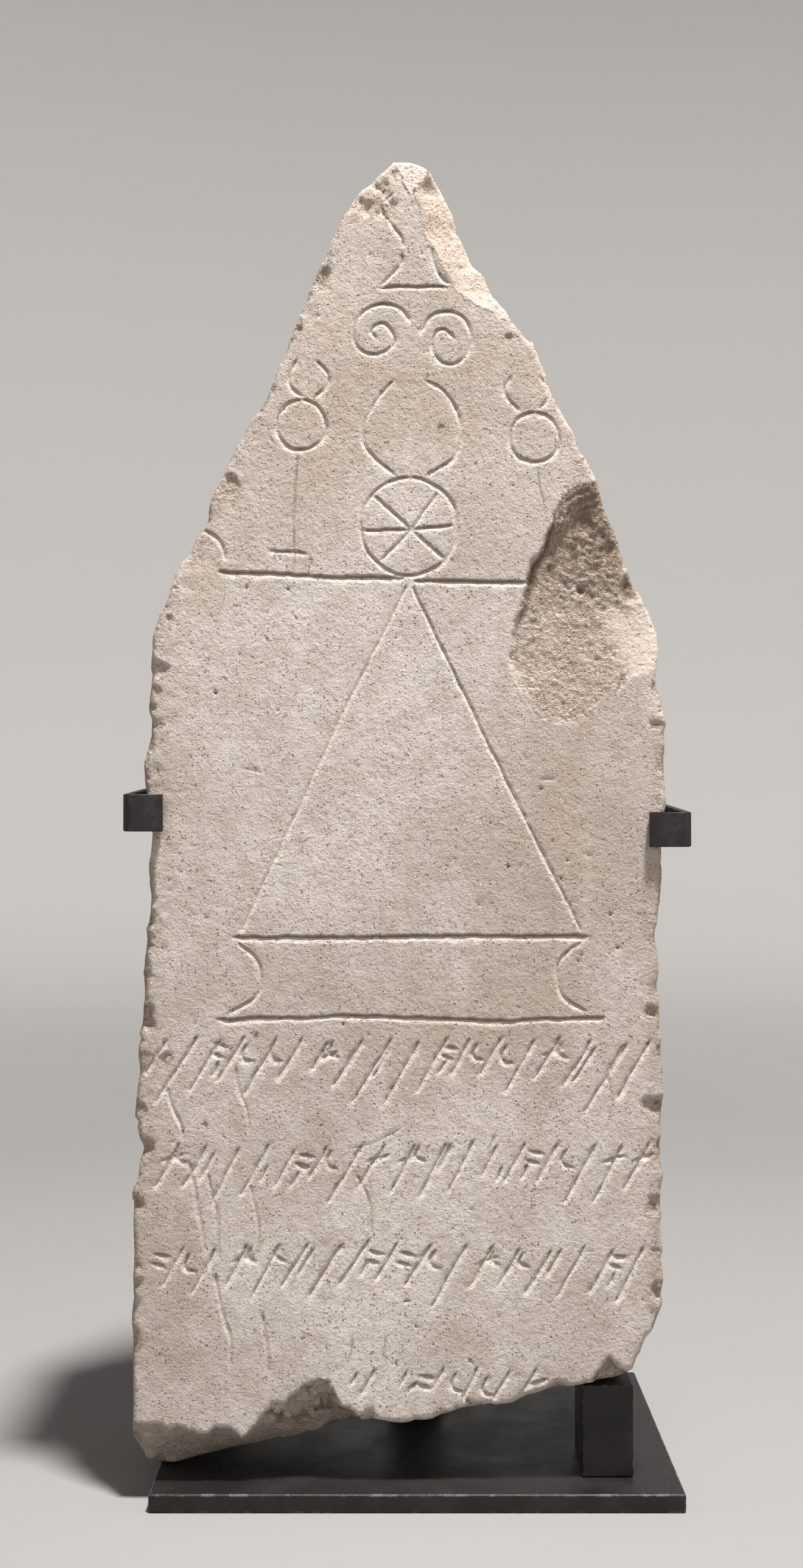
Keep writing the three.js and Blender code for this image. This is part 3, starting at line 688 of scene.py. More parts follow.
def inside_polygon(points, loop):
    """Whether each point lies inside a loop."""
    held = np.zeros(len(points), bool)
    for (x0, z0), (x1, z1) in zip(loop, np.roll(loop, -1, axis=0)):
        if z0 == z1:
            continue
        crosses = (points[:, 1] >= min(z0, z1)) & (points[:, 1] < max(z0, z1))
        at = x0 + (points[:, 1] - z0) * (x1 - x0) / (z1 - z0)
        held ^= crosses & (points[:, 0] < at)
    return held


def distances(points, others):
    """Distance from each point to the nearest of the others."""
    tree = KDTree(len(others))
    for i, (x, z) in enumerate(others):
        tree.insert((x, z, 0), i)
    tree.balance()
    return np.array([tree.find((x, z, 0))[2] for x, z in points])


def gaps_to(points, loop):
    """Distance from each point to the outline."""
    return distances(points, resample([tuple(p) for p in loop], RIM_PITCH, closed=True))


# The lower left corner is broken back to the left of this line and below this level.
CORNER_BREAK = -91.5
CORNER_BREAK_TOP = 48


def foot_break(points):
    """Depth of the break below the face's lower arris, and how far into it each point lies."""
    x, z = points.T
    arris = read_off(FOOT_ARRIS, x) + 0.7 * fractal(flat(np.column_stack([x, 0 * x])), 5, 3, 77)
    lip = lip_level(x)
    share = lip_share(x)
    fall = np.clip((arris - z) / np.maximum(arris - lip, 1.5), 0, 1.2)
    depth = LIP_DEPTH * share * np.minimum(fall, 1) ** 0.9
    left_of = np.clip((CORNER_BREAK - x) / 3.3, 0, 1)
    below = np.clip((CORNER_BREAK_TOP - z) / 14, 0, 1)
    depth = np.maximum(depth, LIP_DEPTH * left_of * below)
    return depth, (fall > 0.02) * (share > 0.05)


# Width of the rough band along the left edge, as (height, width), and along the right edge
LEFT_BAND = [(40, 8), (150, 8), (185, 13), (300, 13), (335, 7)]
RIGHT_BAND = 6

# Soft patches on the face: across, height, half width, half height, how much darker and browner
PATCHES = [
    (-2, 362, 46, 34, 0.75, 0.6), (-68, 308, 13, 22, 0.5, 0.7), (-79, 55, 13, 46, 1.5, 0.6),
    (0, 160, 78, 28, 0.65, 0.15), (9, 147, 26, 20, 0.3, 0.2), (39, 98, 18, 22, 0.4, 0.1),
    (60, 70, 18, 42, 0.3, 0), (56, 222, 28, 58, 1.25, 0.45), (14, 52, 34, 8, 0.3, 0.1),
    (-31, 101, 12, 8, 0.35, 0.2), (-84, 250, 9, 40, 0.3, 0.5), (-21, 214, 24, 44, -0.3, 0),
    (-21, 60, 44, 18, -0.85, 0), (-30, 335, 10, 30, 0.2, 0.4), (0, 140, 80, 13, 0.35, 0.1),
    (81, 115, 6, 75, 1.3, 0.7), (-91, 120, 6, 60, 0.7, 0.6),
]


def tones(points):
    """How much darker and how much browner the stone is at each point."""
    spots = flat(points)
    uneven = 1 + 0.5 * fractal(spots, 16, 3, 141)
    dark, brown = np.zeros(len(points)), np.zeros(len(points))
    for x, z, wide, tall, darker, browner in PATCHES:
        away = ((points[:, 0] - x) / wide) ** 2 + ((points[:, 1] - z) / tall) ** 2
        share = np.exp(-away) * uneven
        dark += darker * share
        brown += browner * share
    return np.clip(0.5 + 0.5 * dark, 0, 1), np.clip(brown, 0, 1)


def hollow_roughness(points, spots, lower):
    """Relief of the hollow's floor, its coarse part, and the pebbly and the pushed noise."""
    x = points[:, 0]
    pebbles = fractal(spots, 1.5, 2, 81, fade=0.6)
    ripples = fractal(spots, (4.2, 1.5, 4), 2, 83)
    pushed = spots + 1.3 * np.column_stack([noise(spots, 2.6, 89), noise(spots, 2.6, 90), 0 * x])
    coarse = 0.42 * fractal(pushed, 3.6, 3, 84, fade=0.65) + 0.12 * facets(points, 2.4, 86)
    patchy = smooth(0.5 + 0.9 * fractal(spots, 9, 2, 82) + (x - 56) / 24)
    rough = 0.2 * pebbles + 0.16 * ripples * lower
    rough = rough + coarse * (1 - 0.85 * lower) * (0.4 + 0.6 * patchy)
    return rough, coarse, pebbles, pushed


def large_hollow(points, spots):
    """Depth of the large hollow, how far each point is in it, how calm it is there, its painted shade and
    its painted highlights.
    """
    x, z = points.T
    depth, into = hollow_depths(points, LARGE_HOLLOW, LARGE_HEART, 0.8, 0.6, 21, terraces=True)
    inside = smooth(into / 1.6)
    lower = fall(z, 300, 26)
    calm = smooth((x - 62 + 0.25 * (z - 268)) / 9) * fall(z, 288, 9)
    rough, coarse, pebbles, pushed = hollow_roughness(points, spots, lower)
    depth += inside * (rough * (1 - 0.8 * calm) + 0.25 * fractal(spots, 11, 2, 85))
    beyond = np.clip(x - read_off(HOLLOW_BEVEL, z), 0, 8)
    depth += inside * beyond * (0.12 + 0.25 * rise(z, 280, 12))
    scooped = np.zeros(len(points))
    for at, level, wide, tall, deep in HOLLOW_SCOOPS:
        reach = np.hypot((x - at) / wide, (z - level) / tall) + 0.25 * coarse
        scoop = inside * np.clip(1.6 - 1.6 * reach, 0, 1)
        depth += deep * scoop
        scooped = np.maximum(scooped, scoop * min(deep, 1))
    # Painted shade under the steep upper-left rim, in the crevices, over the upper part and in the scoops,
    # where shadow falls
    rim_shade = inside * fall(into, 3.4, 2.2) * rise(z, 262, 10) * fall(x, 62, 6)
    crevices = inside * (1 - 0.6 * lower) * np.clip(1.5 * rough, 0, 0.75) * (1 - calm)
    upper = rise(z, 300, 16) + 0.8 * rise(x, 56, 12) * rise(z, 284, 12)
    clouds = np.clip(0.65 + 0.7 * fractal(pushed, 6, 3, 92), 0, 1)
    overcast = 0.62 * inside * np.clip(upper, 0, 1) * clouds
    # Painted highlights on the ledges' edges, along the rim and over the calm lower right part, where the
    # light catches them
    edges = sum(smooth((into - at + 0.7) / 0.4) * smooth((at - into) / 0.4) for at, _ in TERRACES[1:])
    edges = edges * rise(z, LEDGES_FROM, 6) * np.clip(0.7 + 0.6 * pebbles, 0.2, 1)
    shade_and_flecks = np.maximum.reduce([rim_shade, crevices, overcast, scooped]) * (1 - 0.9 * edges)
    rim_highlight = smooth(into / 0.3) * fall(into, 2.6, 1.6) * fall(z, 284, 8)
    lip = np.maximum.reduce([rim_highlight, 0.25 * calm * inside, 0.8 * edges]) * (1 - scooped)
    calm = np.maximum(calm, 0.5 * np.clip(beyond / 1.5, 0, 1))
    return depth, inside, calm, shade_and_flecks, lip


def gable_flake(points, spots):
    """Depth of the gable's flake, how far each point is in it, the tip's creases with their painted shadow,
    and the facet's painted highlight.
    """
    x, z = points.T
    ridge = read_off(GABLE_RIDGE, z) + 0.5 * fractal(spots, 6, 3, 31)
    beyond = np.clip(x - ridge, 0, 30) * rise(z, 370, 6)
    inside = smooth(beyond / 1.4)
    depth = FLAKE_SLOPE * beyond + inside * (
        0.06 * fractal(spots, 1.8, 2, 33, fade=0.8) + 0.4 * fractal(spots, 9, 2, 35)
        + 0.14 * facets(points, 5.5, 37) + 0.5 * rise(z, 418, 3)
    )
    on_facet = inside_polygon(points, TIP_FACET)
    depth = np.where(on_facet, 0.3 + 0.14 * (z - TIP_FOOT), depth)
    off_right = np.abs(x - read_off(TIP_RIGHT_LEG, z) - 0.4)
    off = np.minimum(off_right, np.abs(x - read_off(TIP_LEFT_LEG, z) + 0.5))
    # The creases are cut a little deeper and darkened with painted shadow; the flat facet gets a painted
    # highlight
    crease = smooth(1.3 - off / 0.7) * rise(z, 418.6, 2) * fall(z, 430, 3) * ~on_facet
    return depth + 0.7 * crease, np.maximum(inside, 0.8 * on_facet), crease, 0.8 * on_facet


def breaks(points):
    """Depth of the broken parts, how broken and how pale they are, their painted shade with the foot's dark
    flecks, and their painted highlights.
    """
    spots = flat(points)
    x, z = points.T
    large, in_large, calm, shade_and_flecks, lip = large_hollow(points, spots)
    gable, in_gable, crease, sheen = gable_flake(points, spots)
    corner, into_corner = hollow_depths(points, CORNER_CHIP, CORNER_HEART, 1.0, 0.4, 51)
    foot, in_foot = foot_break(points)
    foot += in_foot * (0.6 * fractal(spots, 9, 2, 87) + 0.5 * facets(points, 4, 88))
    foot += in_foot * 0.25 * fractal(spots, 2, 2, 89)
    on_patch = in_foot * smooth((x + 54) / 8) * rise(z, 12, 8)
    foot += on_patch * (1.8 * fractal(spots, 5, 3, 94) + 1.4 * facets(points, 3.6, 99))
    flecks = 0.8 * on_patch * np.clip(1.8 * fractal(spots, 3, 3, 105), 0, 1)
    chips = chip_depths(points, CHIPS)
    depth = np.maximum.reduce([large, gable, corner, chips, foot])
    hollowed = in_large * (1 - 0.75 * calm) * (0.65 + 0.35 * rise(z, 276, 26))
    broken = np.maximum.reduce([
        hollowed, in_gable, smooth(into_corner), 0.6 * smooth(chips / 1.1), 0.6 * in_foot,
    ])
    pale = np.maximum.reduce([in_gable, 0.4 * calm * in_large, 0.35 * on_patch])
    # Painted shade of the hollow and of the tip's creases, with the dark flecks on the foot's patch
    shade_and_flecks = np.maximum.reduce([shade_and_flecks, flecks, crease])
    return depth, broken, pale, shade_and_flecks, np.maximum(lip, sheen)


def edge_wear(points, gap):
    """Depth of the worn arris and of the rough band beside it, how flaked it is, and the shoulder."""
    spots = flat(points)
    x, z = points.T
    width = 1.5 + 0.9 * fractal(spots, 13, 2, 91)
    deep = 1.2 + 0.6 * fractal(spots, 17, 2, 93)
    at = np.clip(1 - gap / np.clip(width, 0.8, 4), 0, 1)
    rounded = np.clip(deep, 0.5, 2.4) * (1 - np.sqrt(np.maximum(1 - at ** 2, 0)))
    shattered = facets(points, 4.4, 96)
    reach = 6 * np.clip(fractal(spots, 15, 3, 95) + 0.3 * shattered - 0.3, 0, 1)
    reach = reach * (1 - 0.85 * rise(z, 406, 8))
    facet = np.clip(reach - gap, 0, 3.4) * 0.42
    band = smooth(1 - gap / np.where(x < 0, read_off(LEFT_BAND, z), RIGHT_BAND))
    rough = band * np.clip(0.5 * fractal(spots, 3.2, 3, 97) + 0.5 * shattered + 0.1, 0, 1.3) * 0.85
    shoulder = rise(z, 408, 6) * smooth((-5 - x) / 4)
    lumps = 0.5 + 0.9 * fractal(spots, 3.2, 3, 98) + 0.8 * facets(points, 2.9, 99)
    rough += shoulder * np.clip(lumps, 0, 2)
    flaked = np.maximum.reduce([smooth(facet / 1.2), 0.45 * shoulder, smooth(band * rough)])
    return rounded + facet, rough, flaked, shoulder


def face_depths(points, gap, grooves, pits):
    """Depth, the marks (broken, dirt and painted shade, pale) and the tones (darker, browner, painted
    highlight on lips) at each point.
    """
    spots = flat(points)
    plain = 0.16 + 0.2 * (1 + fractal(spots, 60, 2, 101)) + 0.035 * fractal(spots, 6, 3, 103)
    carved, stained_and_shaded, lit_lips = groove_depths(points, grooves)
    pitted = pit_depths(points, pits)
    worn, rough, flaked, shoulder = edge_wear(points, gap)
    broken_depth, broken, pale, shade_and_flecks, lip = breaks(points)
    inland = smooth(gap / 2.2)
    face = plain + (carved + pitted) * inland + rough
    depth = np.maximum(face, broken_depth) + worn
    intact = broken_depth < carved + 0.3
    # Dirt and painted shade: the grooves' stain and shade, painted shade in the pits, and the breaks'
    # painted shade and flecks
    dirt_and_shade = np.clip(stained_and_shaded + pitted / 0.7, 0, 1) * intact
    dirt_and_shade = np.maximum(dirt_and_shade, shade_and_flecks)
    # Painted highlights on the grooves' lower walls and on the breaks
    lit_lips = np.maximum(lit_lips * intact, lip)
    broken = np.maximum(broken, flaked * 0.8)
    pale = np.maximum(pale, 0.7 * shoulder)
    dark, brown = tones(points)
    marks = np.column_stack([broken, dirt_and_shade, pale])
    return np.maximum(depth, 0.02), marks, np.column_stack([dark, brown, lit_lips])


def thinned(points, least):
    """The points in order, without those nearer than least to one that is kept."""
    cells = {}
    kept = []
    for i, (x, z) in enumerate(points):
        cx, cz = int(x // least), int(z // least)
        clash = False
        for ax in (cx - 1, cx, cx + 1):
            for az in (cz - 1, cz, cz + 1):
                other = cells.get((ax, az))
                if other is not None and (other[0] - x) ** 2 + (other[1] - z) ** 2 < least * least:
                    clash = True
        if not clash:
            cells[(cx, cz)] = (x, z)
            kept.append(i)
    return points[kept]


HEX_RISE = 0.866
HEX_JITTER = 0.24


def hex_grid(low, high, pitch, rng):
    """Points in offset rows, each moved a little at random."""
    rows = int((high[1] - low[1]) / (pitch * HEX_RISE)) + 1
    columns = int((high[0] - low[0]) / pitch) + 1
    j, i = np.mgrid[0:rows, 0:columns]
    x = low[0] + (i + 0.5 * (j % 2)) * pitch
    z = low[1] + j * pitch * HEX_RISE
    grid = np.column_stack([x.ravel(), z.ravel()]).astype(float)
    return grid + rng.uniform(-HEX_JITTER, HEX_JITTER, grid.shape) * pitch


def face_points(loop, grooves, pits, rng):
    """Places on the face: close together on grooves, pits and breaks, wider apart elsewhere."""
    low, high = loop.min(axis=0), loop.max(axis=0)
    lines = groove_points(grooves)
    dots = pit_points(pits, rng)
    grid = hex_grid(low, high, FACE_PITCH, rng)
    fine = hex_grid(low, high, BREAK_PITCH, rng)
    grid = grid[breaks(grid)[1] < FINE_FROM]
    fine = fine[breaks(fine)[1] >= FINE_FROM]
    marks = np.vstack([lines, dots])
    grid = grid[distances(grid, marks) >= FACE_PITCH * 0.62]
    fine = fine[distances(fine, marks) >= BREAK_PITCH * 0.55]
    everything = np.vstack([lines, dots, fine, grid])
    everything = everything[inside_polygon(everything, loop)]
    everything = everything[gaps_to(everything, loop) > RIM_MARGIN]
    return thinned(everything, LEAST_PITCH)


def triangulate(loop, inner):
    """Triangles over a loop and the points inside it: places, triangles, and the loop's own places."""
    count = len(loop)
    given = [Vector(p) for p in np.vstack([loop, inner])]
    edges = [(i, (i + 1) % count) for i in range(count)]
    made, _, faces, origin, _, _ = delaunay_2d_cdt(given, edges, [], 0, 1e-5, True)
    made = np.array([tuple(p) for p in made])
    faces = np.array(faces)
    faces = faces[inside_polygon(made[faces].mean(axis=1), loop)]
    where = {}
    for i, sources in enumerate(origin):
        for source in sources:
            where[source] = i
    rim = [where[i] for i in range(count)]
    return made, faces, rim


# The sides and the back

def softened(values, reach):
    """A closed row of values, averaged over its neighbours."""
    weights = np.exp(-0.5 * (np.arange(-3 * reach, 3 * reach + 1) / reach) ** 2)
    weights /= weights.sum()
    wrapped = np.concatenate([values[-3 * reach:], values, values[:3 * reach]])
    return np.column_stack([np.convolve(wrapped[:, i], weights, "valid") for i in range(2)])


# How far the back's edges are drawn in, and its foot raised, by depth
BACK_INSET = [(0, 0), (20, 0), (45, 0.5), (62, 1.2), (67.5, 2.6), (70, 4.2)]
FOOT_RAISE = [(62, 0), (70, 4)]
# The stone's underside lies below this level and left of this line.
FOOT_LEVEL = 45
UNDERSIDE_END = 72
# The block under the right foot: its left and right end, and how far back it reaches
POST_LEFT, POST_RIGHT, POST_BACK = 48, 76, 40


def wall_rows(loop, rim_depth):
    """Loops from the face's outline to the back, as places in the stone's own mm."""
    calm = softened(loop, 5)
    out = normals_of(calm, closed=True)
    inward = np.sum((calm - loop) * out, axis=1)
    low_down = np.maximum(loop[:, 1], calm[:, 1]) < FOOT_LEVEL
    foot = low_down & (out[:, 1] < -0.3) & (loop[:, 0] < UNDERSIDE_END)
    foot_weight = softened(np.column_stack([foot, foot]).astype(float), 2)[:, 0]
    rows = []
    for k in range(1, WALL_ROWS + 1):
        t = k / WALL_ROWS
        t = t * (0.55 + 0.45 * t) if t < 0.8 else t
        depth = rim_depth + (THICKNESS - rim_depth) * t
        settle = smooth((depth - rim_depth) / 16)
        base = loop + out * (np.minimum(inward, 0.2) * settle)[:, None]
        inset = read_off(BACK_INSET, depth)
        spots = np.column_stack([base[:, 0], base[:, 1], depth])
        rough = 0.9 * fractal(spots, 24, 3, 111) + 0.7 * fractal(spots, 5.5, 3, 113) - 0.9
        fade = smooth((depth - rim_depth) / 5)
        shift = (rough * fade - inset) * (1 - foot_weight)
        x = base[:, 0] + out[:, 0] * shift
        z = base[:, 1] + out[:, 1] * shift
        under = read_off(UNDERSIDE, x)
        lowered = np.clip(depth / LIP_DEPTH, 0, 1)
        raised = read_off(FOOT_RAISE, depth)
        bumps = np.clip(0.8 * fractal(spots, 7, 3, 117) + 0.4, 0, 2) * fade
        foot_z = base[:, 1] + (under - base[:, 1]) * lowered + raised + bumps
        z = z * (1 - foot_weight) + foot_z * foot_weight
        over_post = (x > POST_LEFT) & (x < POST_RIGHT) & (depth < POST_BACK)
        z = np.where((foot_weight > 0.5) & over_post, np.maximum(z, POST_TOP), z)
        z = np.maximum(z, REST)
        rows.append(np.column_stack([x, z, np.minimum(depth, THICKNESS)]))
    return rows


BACK_LUMPS = 4


def back_sheet(loop, rng):
    """Places and triangles over the rough back."""
    grid = hex_grid(loop.min(axis=0), loop.max(axis=0), BACK_PITCH, rng)
    grid = grid[inside_polygon(grid, loop)]
    gap = gaps_to(grid, loop)
    grid = grid[gap > BACK_PITCH * 0.6]
    return triangulate(loop, grid)


def shades_of(*columns):
    """Rows of broken, dirt and painted shade, pale, darker, browner and painted highlight on lips, held
    between nought and one.
    """
    count = max(np.size(column) for column in columns)
    return np.clip(np.column_stack([np.broadcast_to(column, count) for column in columns]), 0, 1)


def wall_shades(row):
    return shades_of(
        0.45 + 0.35 * fractal(row, 18, 2, 121),
        0.12 + 0.25 * np.clip(fractal(row, 9, 2, 123), 0, 1),
        0.5 * smooth((row[:, 1] - 395) / 25),
        0.5 + 0.2 * fractal(row, 25, 2, 125),
        0.35 + 0.3 * fractal(row, 20, 2, 127),
        0,
    )


def back_shades(spots):
    return shades_of(
        0.5 + 0.35 * fractal(spots, 18, 2, 135),
        0.15,
        0,
        0.5 + 0.3 * fractal(spots, 30, 3, 137),
        0.35 + 0.3 * fractal(spots, 22, 3, 139),
        0,
    )


def front_part(loop, rng):
    """Places, triangles, rim and shades of the carved face."""
    grooves, pits = sampled_grooves(), pit_places(rng)
    places, triangles, rim = triangulate(loop, face_points(loop, grooves, pits, rng))
    gap = gaps_to(places, loop)
    gap[rim] = 0
    depth, marks, shading = face_depths(places, gap, grooves, pits)
    depth[rim] = np.clip(depth[rim], LEAST_RIM_DEPTH, LIP_DEPTH + 2)
    return np.column_stack([places, depth]), triangles, rim, np.column_stack([marks, shading])


def add_shades(piece, shades):
    """The six shades of each point, as two layers of three."""
    for name, columns in (("marks", shades[:, :3]), ("tones", shades[:, 3:])):
        layer = piece.data.color_attributes.new(name, "FLOAT_COLOR", "POINT")
        layer.data.foreach_set("color", np.column_stack([columns, np.ones(len(shades))]).ravel())


def build_stone():
    """The whole stone as one closed mesh: face, sides and back."""
    rng = np.random.default_rng(SEED)
    loop = stone_outline()
    front, front_triangles, rim, shades = front_part(loop, rng)
    points, shades = [front], [shades]
    triangles = [tuple(f) for f in front_triangles]
    before = np.array(rim)
    total, count = len(front), len(loop)
    for row in wall_rows(loop, front[rim, 2]):
        points.append(row)
        shades.append(wall_shades(row))
        here = np.arange(total, total + count)
        triangles += list(zip(before, here, np.roll(here, -1), np.roll(before, -1)))
        before = here
        total += count
    back_places, back_faces, back_rim = back_sheet(points[-1][:, :2], rng)
    index = {made: int(before[i]) for i, made in enumerate(back_rim)}
    fresh = [i for i in range(len(back_places)) if i not in index]
    index.update({i: total + n for n, i in enumerate(fresh)})
    spots = flat(back_places[fresh])
    lumps = 0.9 * (1 + fractal(spots, 26, 3, 131)) + 0.5 * (1 + fractal(spots, 7, 3, 133))
    points.append(np.column_stack([back_places[fresh], THICKNESS - np.clip(lumps, 0, BACK_LUMPS)]))
    shades.append(back_shades(spots))
    triangles += [(index[a], index[c], index[b]) for a, b, c in back_faces]

    across, level, depth = np.vstack(points).T
    world = np.column_stack([across * UNIT, FACE + depth * UNIT, SEAT + level * UNIT])
    piece = new_piece("carved_stele", world, triangles, "stele")
    add_shades(piece, np.vstack(shades))
    return piece


# Pieces

def placed(name, mesh, node):
    """A smooth piece in the scene that rides on the root and stands in for a node."""
    mesh.shade_smooth()
    piece = bpy.data.objects.new(name, mesh)
    bpy.context.scene.collection.objects.link(piece)
    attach(piece, "root")
    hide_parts(node)
    return piece


def new_piece(name, points, faces, node):
    mesh = bpy.data.meshes.new(name)
    mesh.from_pydata([tuple(map(float, p)) for p in points], [], [tuple(map(int, f)) for f in faces])
    mesh.validate()
    return placed(name, mesh, node)


def steel_piece(name, made, node, worn):
    """A piece of the mount; worn says how thin the paint is at a corner."""
    mesh = bpy.data.meshes.new(name)
    made.to_mesh(mesh)
    made.free()
    layer = mesh.color_attributes.new("marks", "FLOAT_COLOR", "POINT")
    for i, vertex in enumerate(mesh.vertices):
        layer.data[i].color = (worn(vertex.co), 0, 0, 1)
    piece = placed(name, mesh, node)
    weighted = piece.modifiers.new("weighted", "WEIGHTED_NORMAL")
    weighted.keep_sharp = True
    return piece


PLATE_BEVEL = 0.8 * MM
BAR_BEVEL = 0.5 * MM


def rounded_block(name, node, bevel):
    """A block with rounded edges, whose marks say where the paint is worn."""
    low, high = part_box(node)
    made = bmesh.new()
    bmesh.ops.create_cube(made, size=1)
    size = high - low
    middle = (high + low) / 2
    for vertex in made.verts:
        vertex.co = Vector(c * s for c, s in zip(vertex.co, size)) + middle
    bmesh.ops.bevel(made, geom=made.edges[:], offset=bevel, segments=4, profile=0.5, affect="EDGES")

    def worn(corner):
        inner = [min(c - a, b - c) for c, a, b in zip(corner, low, high)]
        return 1.0 if sum(1 for gap in inner if 1e-6 < gap < bevel - 1e-6) >= 2 else 0.0

    return steel_piece(name, made, node, worn)


# The straps, as they are in the solids
STRAP_THICKNESS = 2.5 * MM
STRAP_BEND = 3 * MM
STRAP_RISE = 4.5 * MM
STRAP_BEVEL = 0.35 * MM
STRAP_WEAR = 0.1
BEND_STEPS = 9


def strap_path(side, low, high):
    """Middle line of a strap seen from above, from its tab's end round the bend to its far end."""
    half = STRAP_THICKNESS / 2
    outer = low.x if side < 0 else high.x
    tab_end = high.x if side < 0 else low.x
    front = low.y + half
    bend_x = outer - side * STRAP_BEND
    radius = STRAP_BEND - half
    points = [(tab_end, front), (bend_x, front)]
    for i in range(1, BEND_STEPS):
        turn = math.pi / 2 * i / BEND_STEPS
        points.append((bend_x + side * radius * math.sin(turn), front + radius * (1 - math.cos(turn))))
    points.append((outer - side * half, low.y + STRAP_BEND))
    points.append((outer - side * half, high.y))
    return points


def strap(name, node, side):
    """A bent flat strap with softened edges, level at the tab and rising towards the back."""
    low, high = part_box(node)
    height = high.z - low.z - STRAP_RISE
    path = strap_path(side, low, high)
    half, tall, edge = STRAP_THICKNESS / 2, height / 2, STRAP_BEVEL
    section = [
        (-half + edge, -tall), (half - edge, -tall), (half, -tall + edge), (half, tall - edge),
        (half - edge, tall), (-half + edge, tall), (-half, tall - edge), (-half, -tall + edge),
    ]
    made = bmesh.new()
    rings = []
    last = len(path) - 1
    for i, (x, y) in enumerate(path):
        bx, by = path[max(i - 1, 0)]
        ax, ay = path[min(i + 1, last)]
        run = Vector((ax - bx, ay - by)).normalized()
        climb = STRAP_RISE * (y - low.y) / (high.y - low.y)
        level = low.z + tall + climb
        rings.append([made.verts.new((x - run.y * s, y + run.x * s, level + t)) for s, t in section])
    for a, b in zip(rings, rings[1:]):
        for i in range(len(section)):
            j = (i + 1) % len(section)
            made.faces.new((a[i], a[j], b[j], b[i]))
    made.faces.new(rings[0][::-1])
    made.faces.new(rings[-1])
    bmesh.ops.recalc_face_normals(made, faces=made.faces[:])
    return steel_piece(name, made, node, lambda corner: STRAP_WEAR)


# Materials

class Nodes:
    """A small helper that adds nodes to a material and joins them."""

    def __init__(self, name):
        self.material = bpy.data.materials.new(name)
        self.material.use_nodes = True
        self.tree = self.material.node_tree
        self.shader = self.tree.nodes["Principled BSDF"]
        self.place = self.add("ShaderNodeTexCoord").outputs["Object"]

    def add(self, kind, **settings):
        node = self.tree.nodes.new(kind)
        for key, value in settings.items():
            setattr(node, key, value)
        return node

    def join(self, source, socket):
        self.tree.links.new(source, socket)

    def stretched(self, scale):
        node = self.add("ShaderNodeMapping")
        node.inputs["Scale"].default_value = scale
        self.join(self.place, node.inputs["Vector"])
        return node.outputs["Vector"]

    def noise(self, scale, detail, rough, source=None):
        node = self.add("ShaderNodeTexNoise")
        node.inputs["Scale"].default_value = scale
        node.inputs["Detail"].default_value = detail
        node.inputs["Roughness"].default_value = rough
        self.join(source or self.place, node.inputs["Vector"])
        return node.outputs["Fac"]

    def warped(self, scale, amount):
        """The place on the surface, pushed about by a noise."""
        push = self.add("ShaderNodeTexNoise")
        push.inputs["Scale"].default_value = scale
        push.inputs["Detail"].default_value = 2.0
        self.join(self.place, push.inputs["Vector"])
        reach = self.add("ShaderNodeVectorMath", operation="MULTIPLY_ADD")
        self.join(push.outputs["Color"], reach.inputs[0])
        reach.inputs[1].default_value = (amount, amount, amount)
        self.join(self.place, reach.inputs[2])
        return reach.outputs["Vector"]

    def cells(self, scale, source):
        """Distance from the middle of each cell, and a number of the cell's own."""
        node = self.add("ShaderNodeTexVoronoi")
        node.inputs["Scale"].default_value = scale
        self.join(source, node.inputs["Vector"])
        own = self.add("ShaderNodeSeparateColor")
        self.join(node.outputs["Color"], own.inputs["Color"])
        return node.outputs["Distance"], own.outputs[0]

    def dots(self, scale, chosen, widest, soft, source):
        """Irregular dots of many sizes in some of the cells: 1 inside them, 0 outside."""
        gap, draw = self.cells(scale, source)
        size = self.span(draw, 1 - chosen, 1.0, 0.0, widest, "LINEAR")
        return self.span(self.sum("SUBTRACT", size, gap), 0.0, soft)

    def span(self, source, low, high, start=0.0, end=1.0, kind="SMOOTHSTEP"):
        node = self.add("ShaderNodeMapRange", interpolation_type=kind)
        for key, value in (("From Min", low), ("From Max", high), ("To Min", start), ("To Max", end)):
            node.inputs[key].default_value = value
        self.join(source, node.inputs["Value"])
        return node.outputs["Result"]

    def sum(self, operation, a, b):
        node = self.add("ShaderNodeMath", operation=operation)
        for socket, value in zip(node.inputs, (a, b)):
            if isinstance(value, (int, float)):
                socket.default_value = value
            else:
                self.join(value, socket)
        return node.outputs["Value"]

    def plus(self, a, b):
        return self.sum("ADD", a, b)

    def times(self, a, b):
        return self.sum("MULTIPLY", a, b)

    def mix(self, share, a, b):
        node = self.add("ShaderNodeMix", data_type="RGBA", blend_type="MIX")
        colours = [s for s in node.inputs if s.type == "RGBA"]
        for socket, value in zip(colours, (a, b)):
            if isinstance(value, tuple):
                socket.default_value = (*value, 1)
            else:
                self.join(value, socket)
        self.join(share, node.inputs[0])
        return next(s for s in node.outputs if s.type == "RGBA")

    def tint(self, colour, share, strength, tone):
        """The colour, with as much of a tone over it as the share times the strength."""
        return self.mix(self.times(share, strength), colour, tone)

    def marks(self, name):
        """The three numbers that a named layer of the mesh holds at each point."""
        node = self.add("ShaderNodeAttribute", attribute_name=name)
        parts = self.add("ShaderNodeSeparateColor")
        self.join(node.outputs["Color"], parts.inputs["Color"])
        return tuple(parts.outputs)

    def bump(self, height, distance):
        node = self.add("ShaderNodeBump")
        node.inputs["Strength"].default_value = 1.0
        node.inputs["Distance"].default_value = distance
        self.join(height, node.inputs["Height"])
        return node.outputs["Normal"]


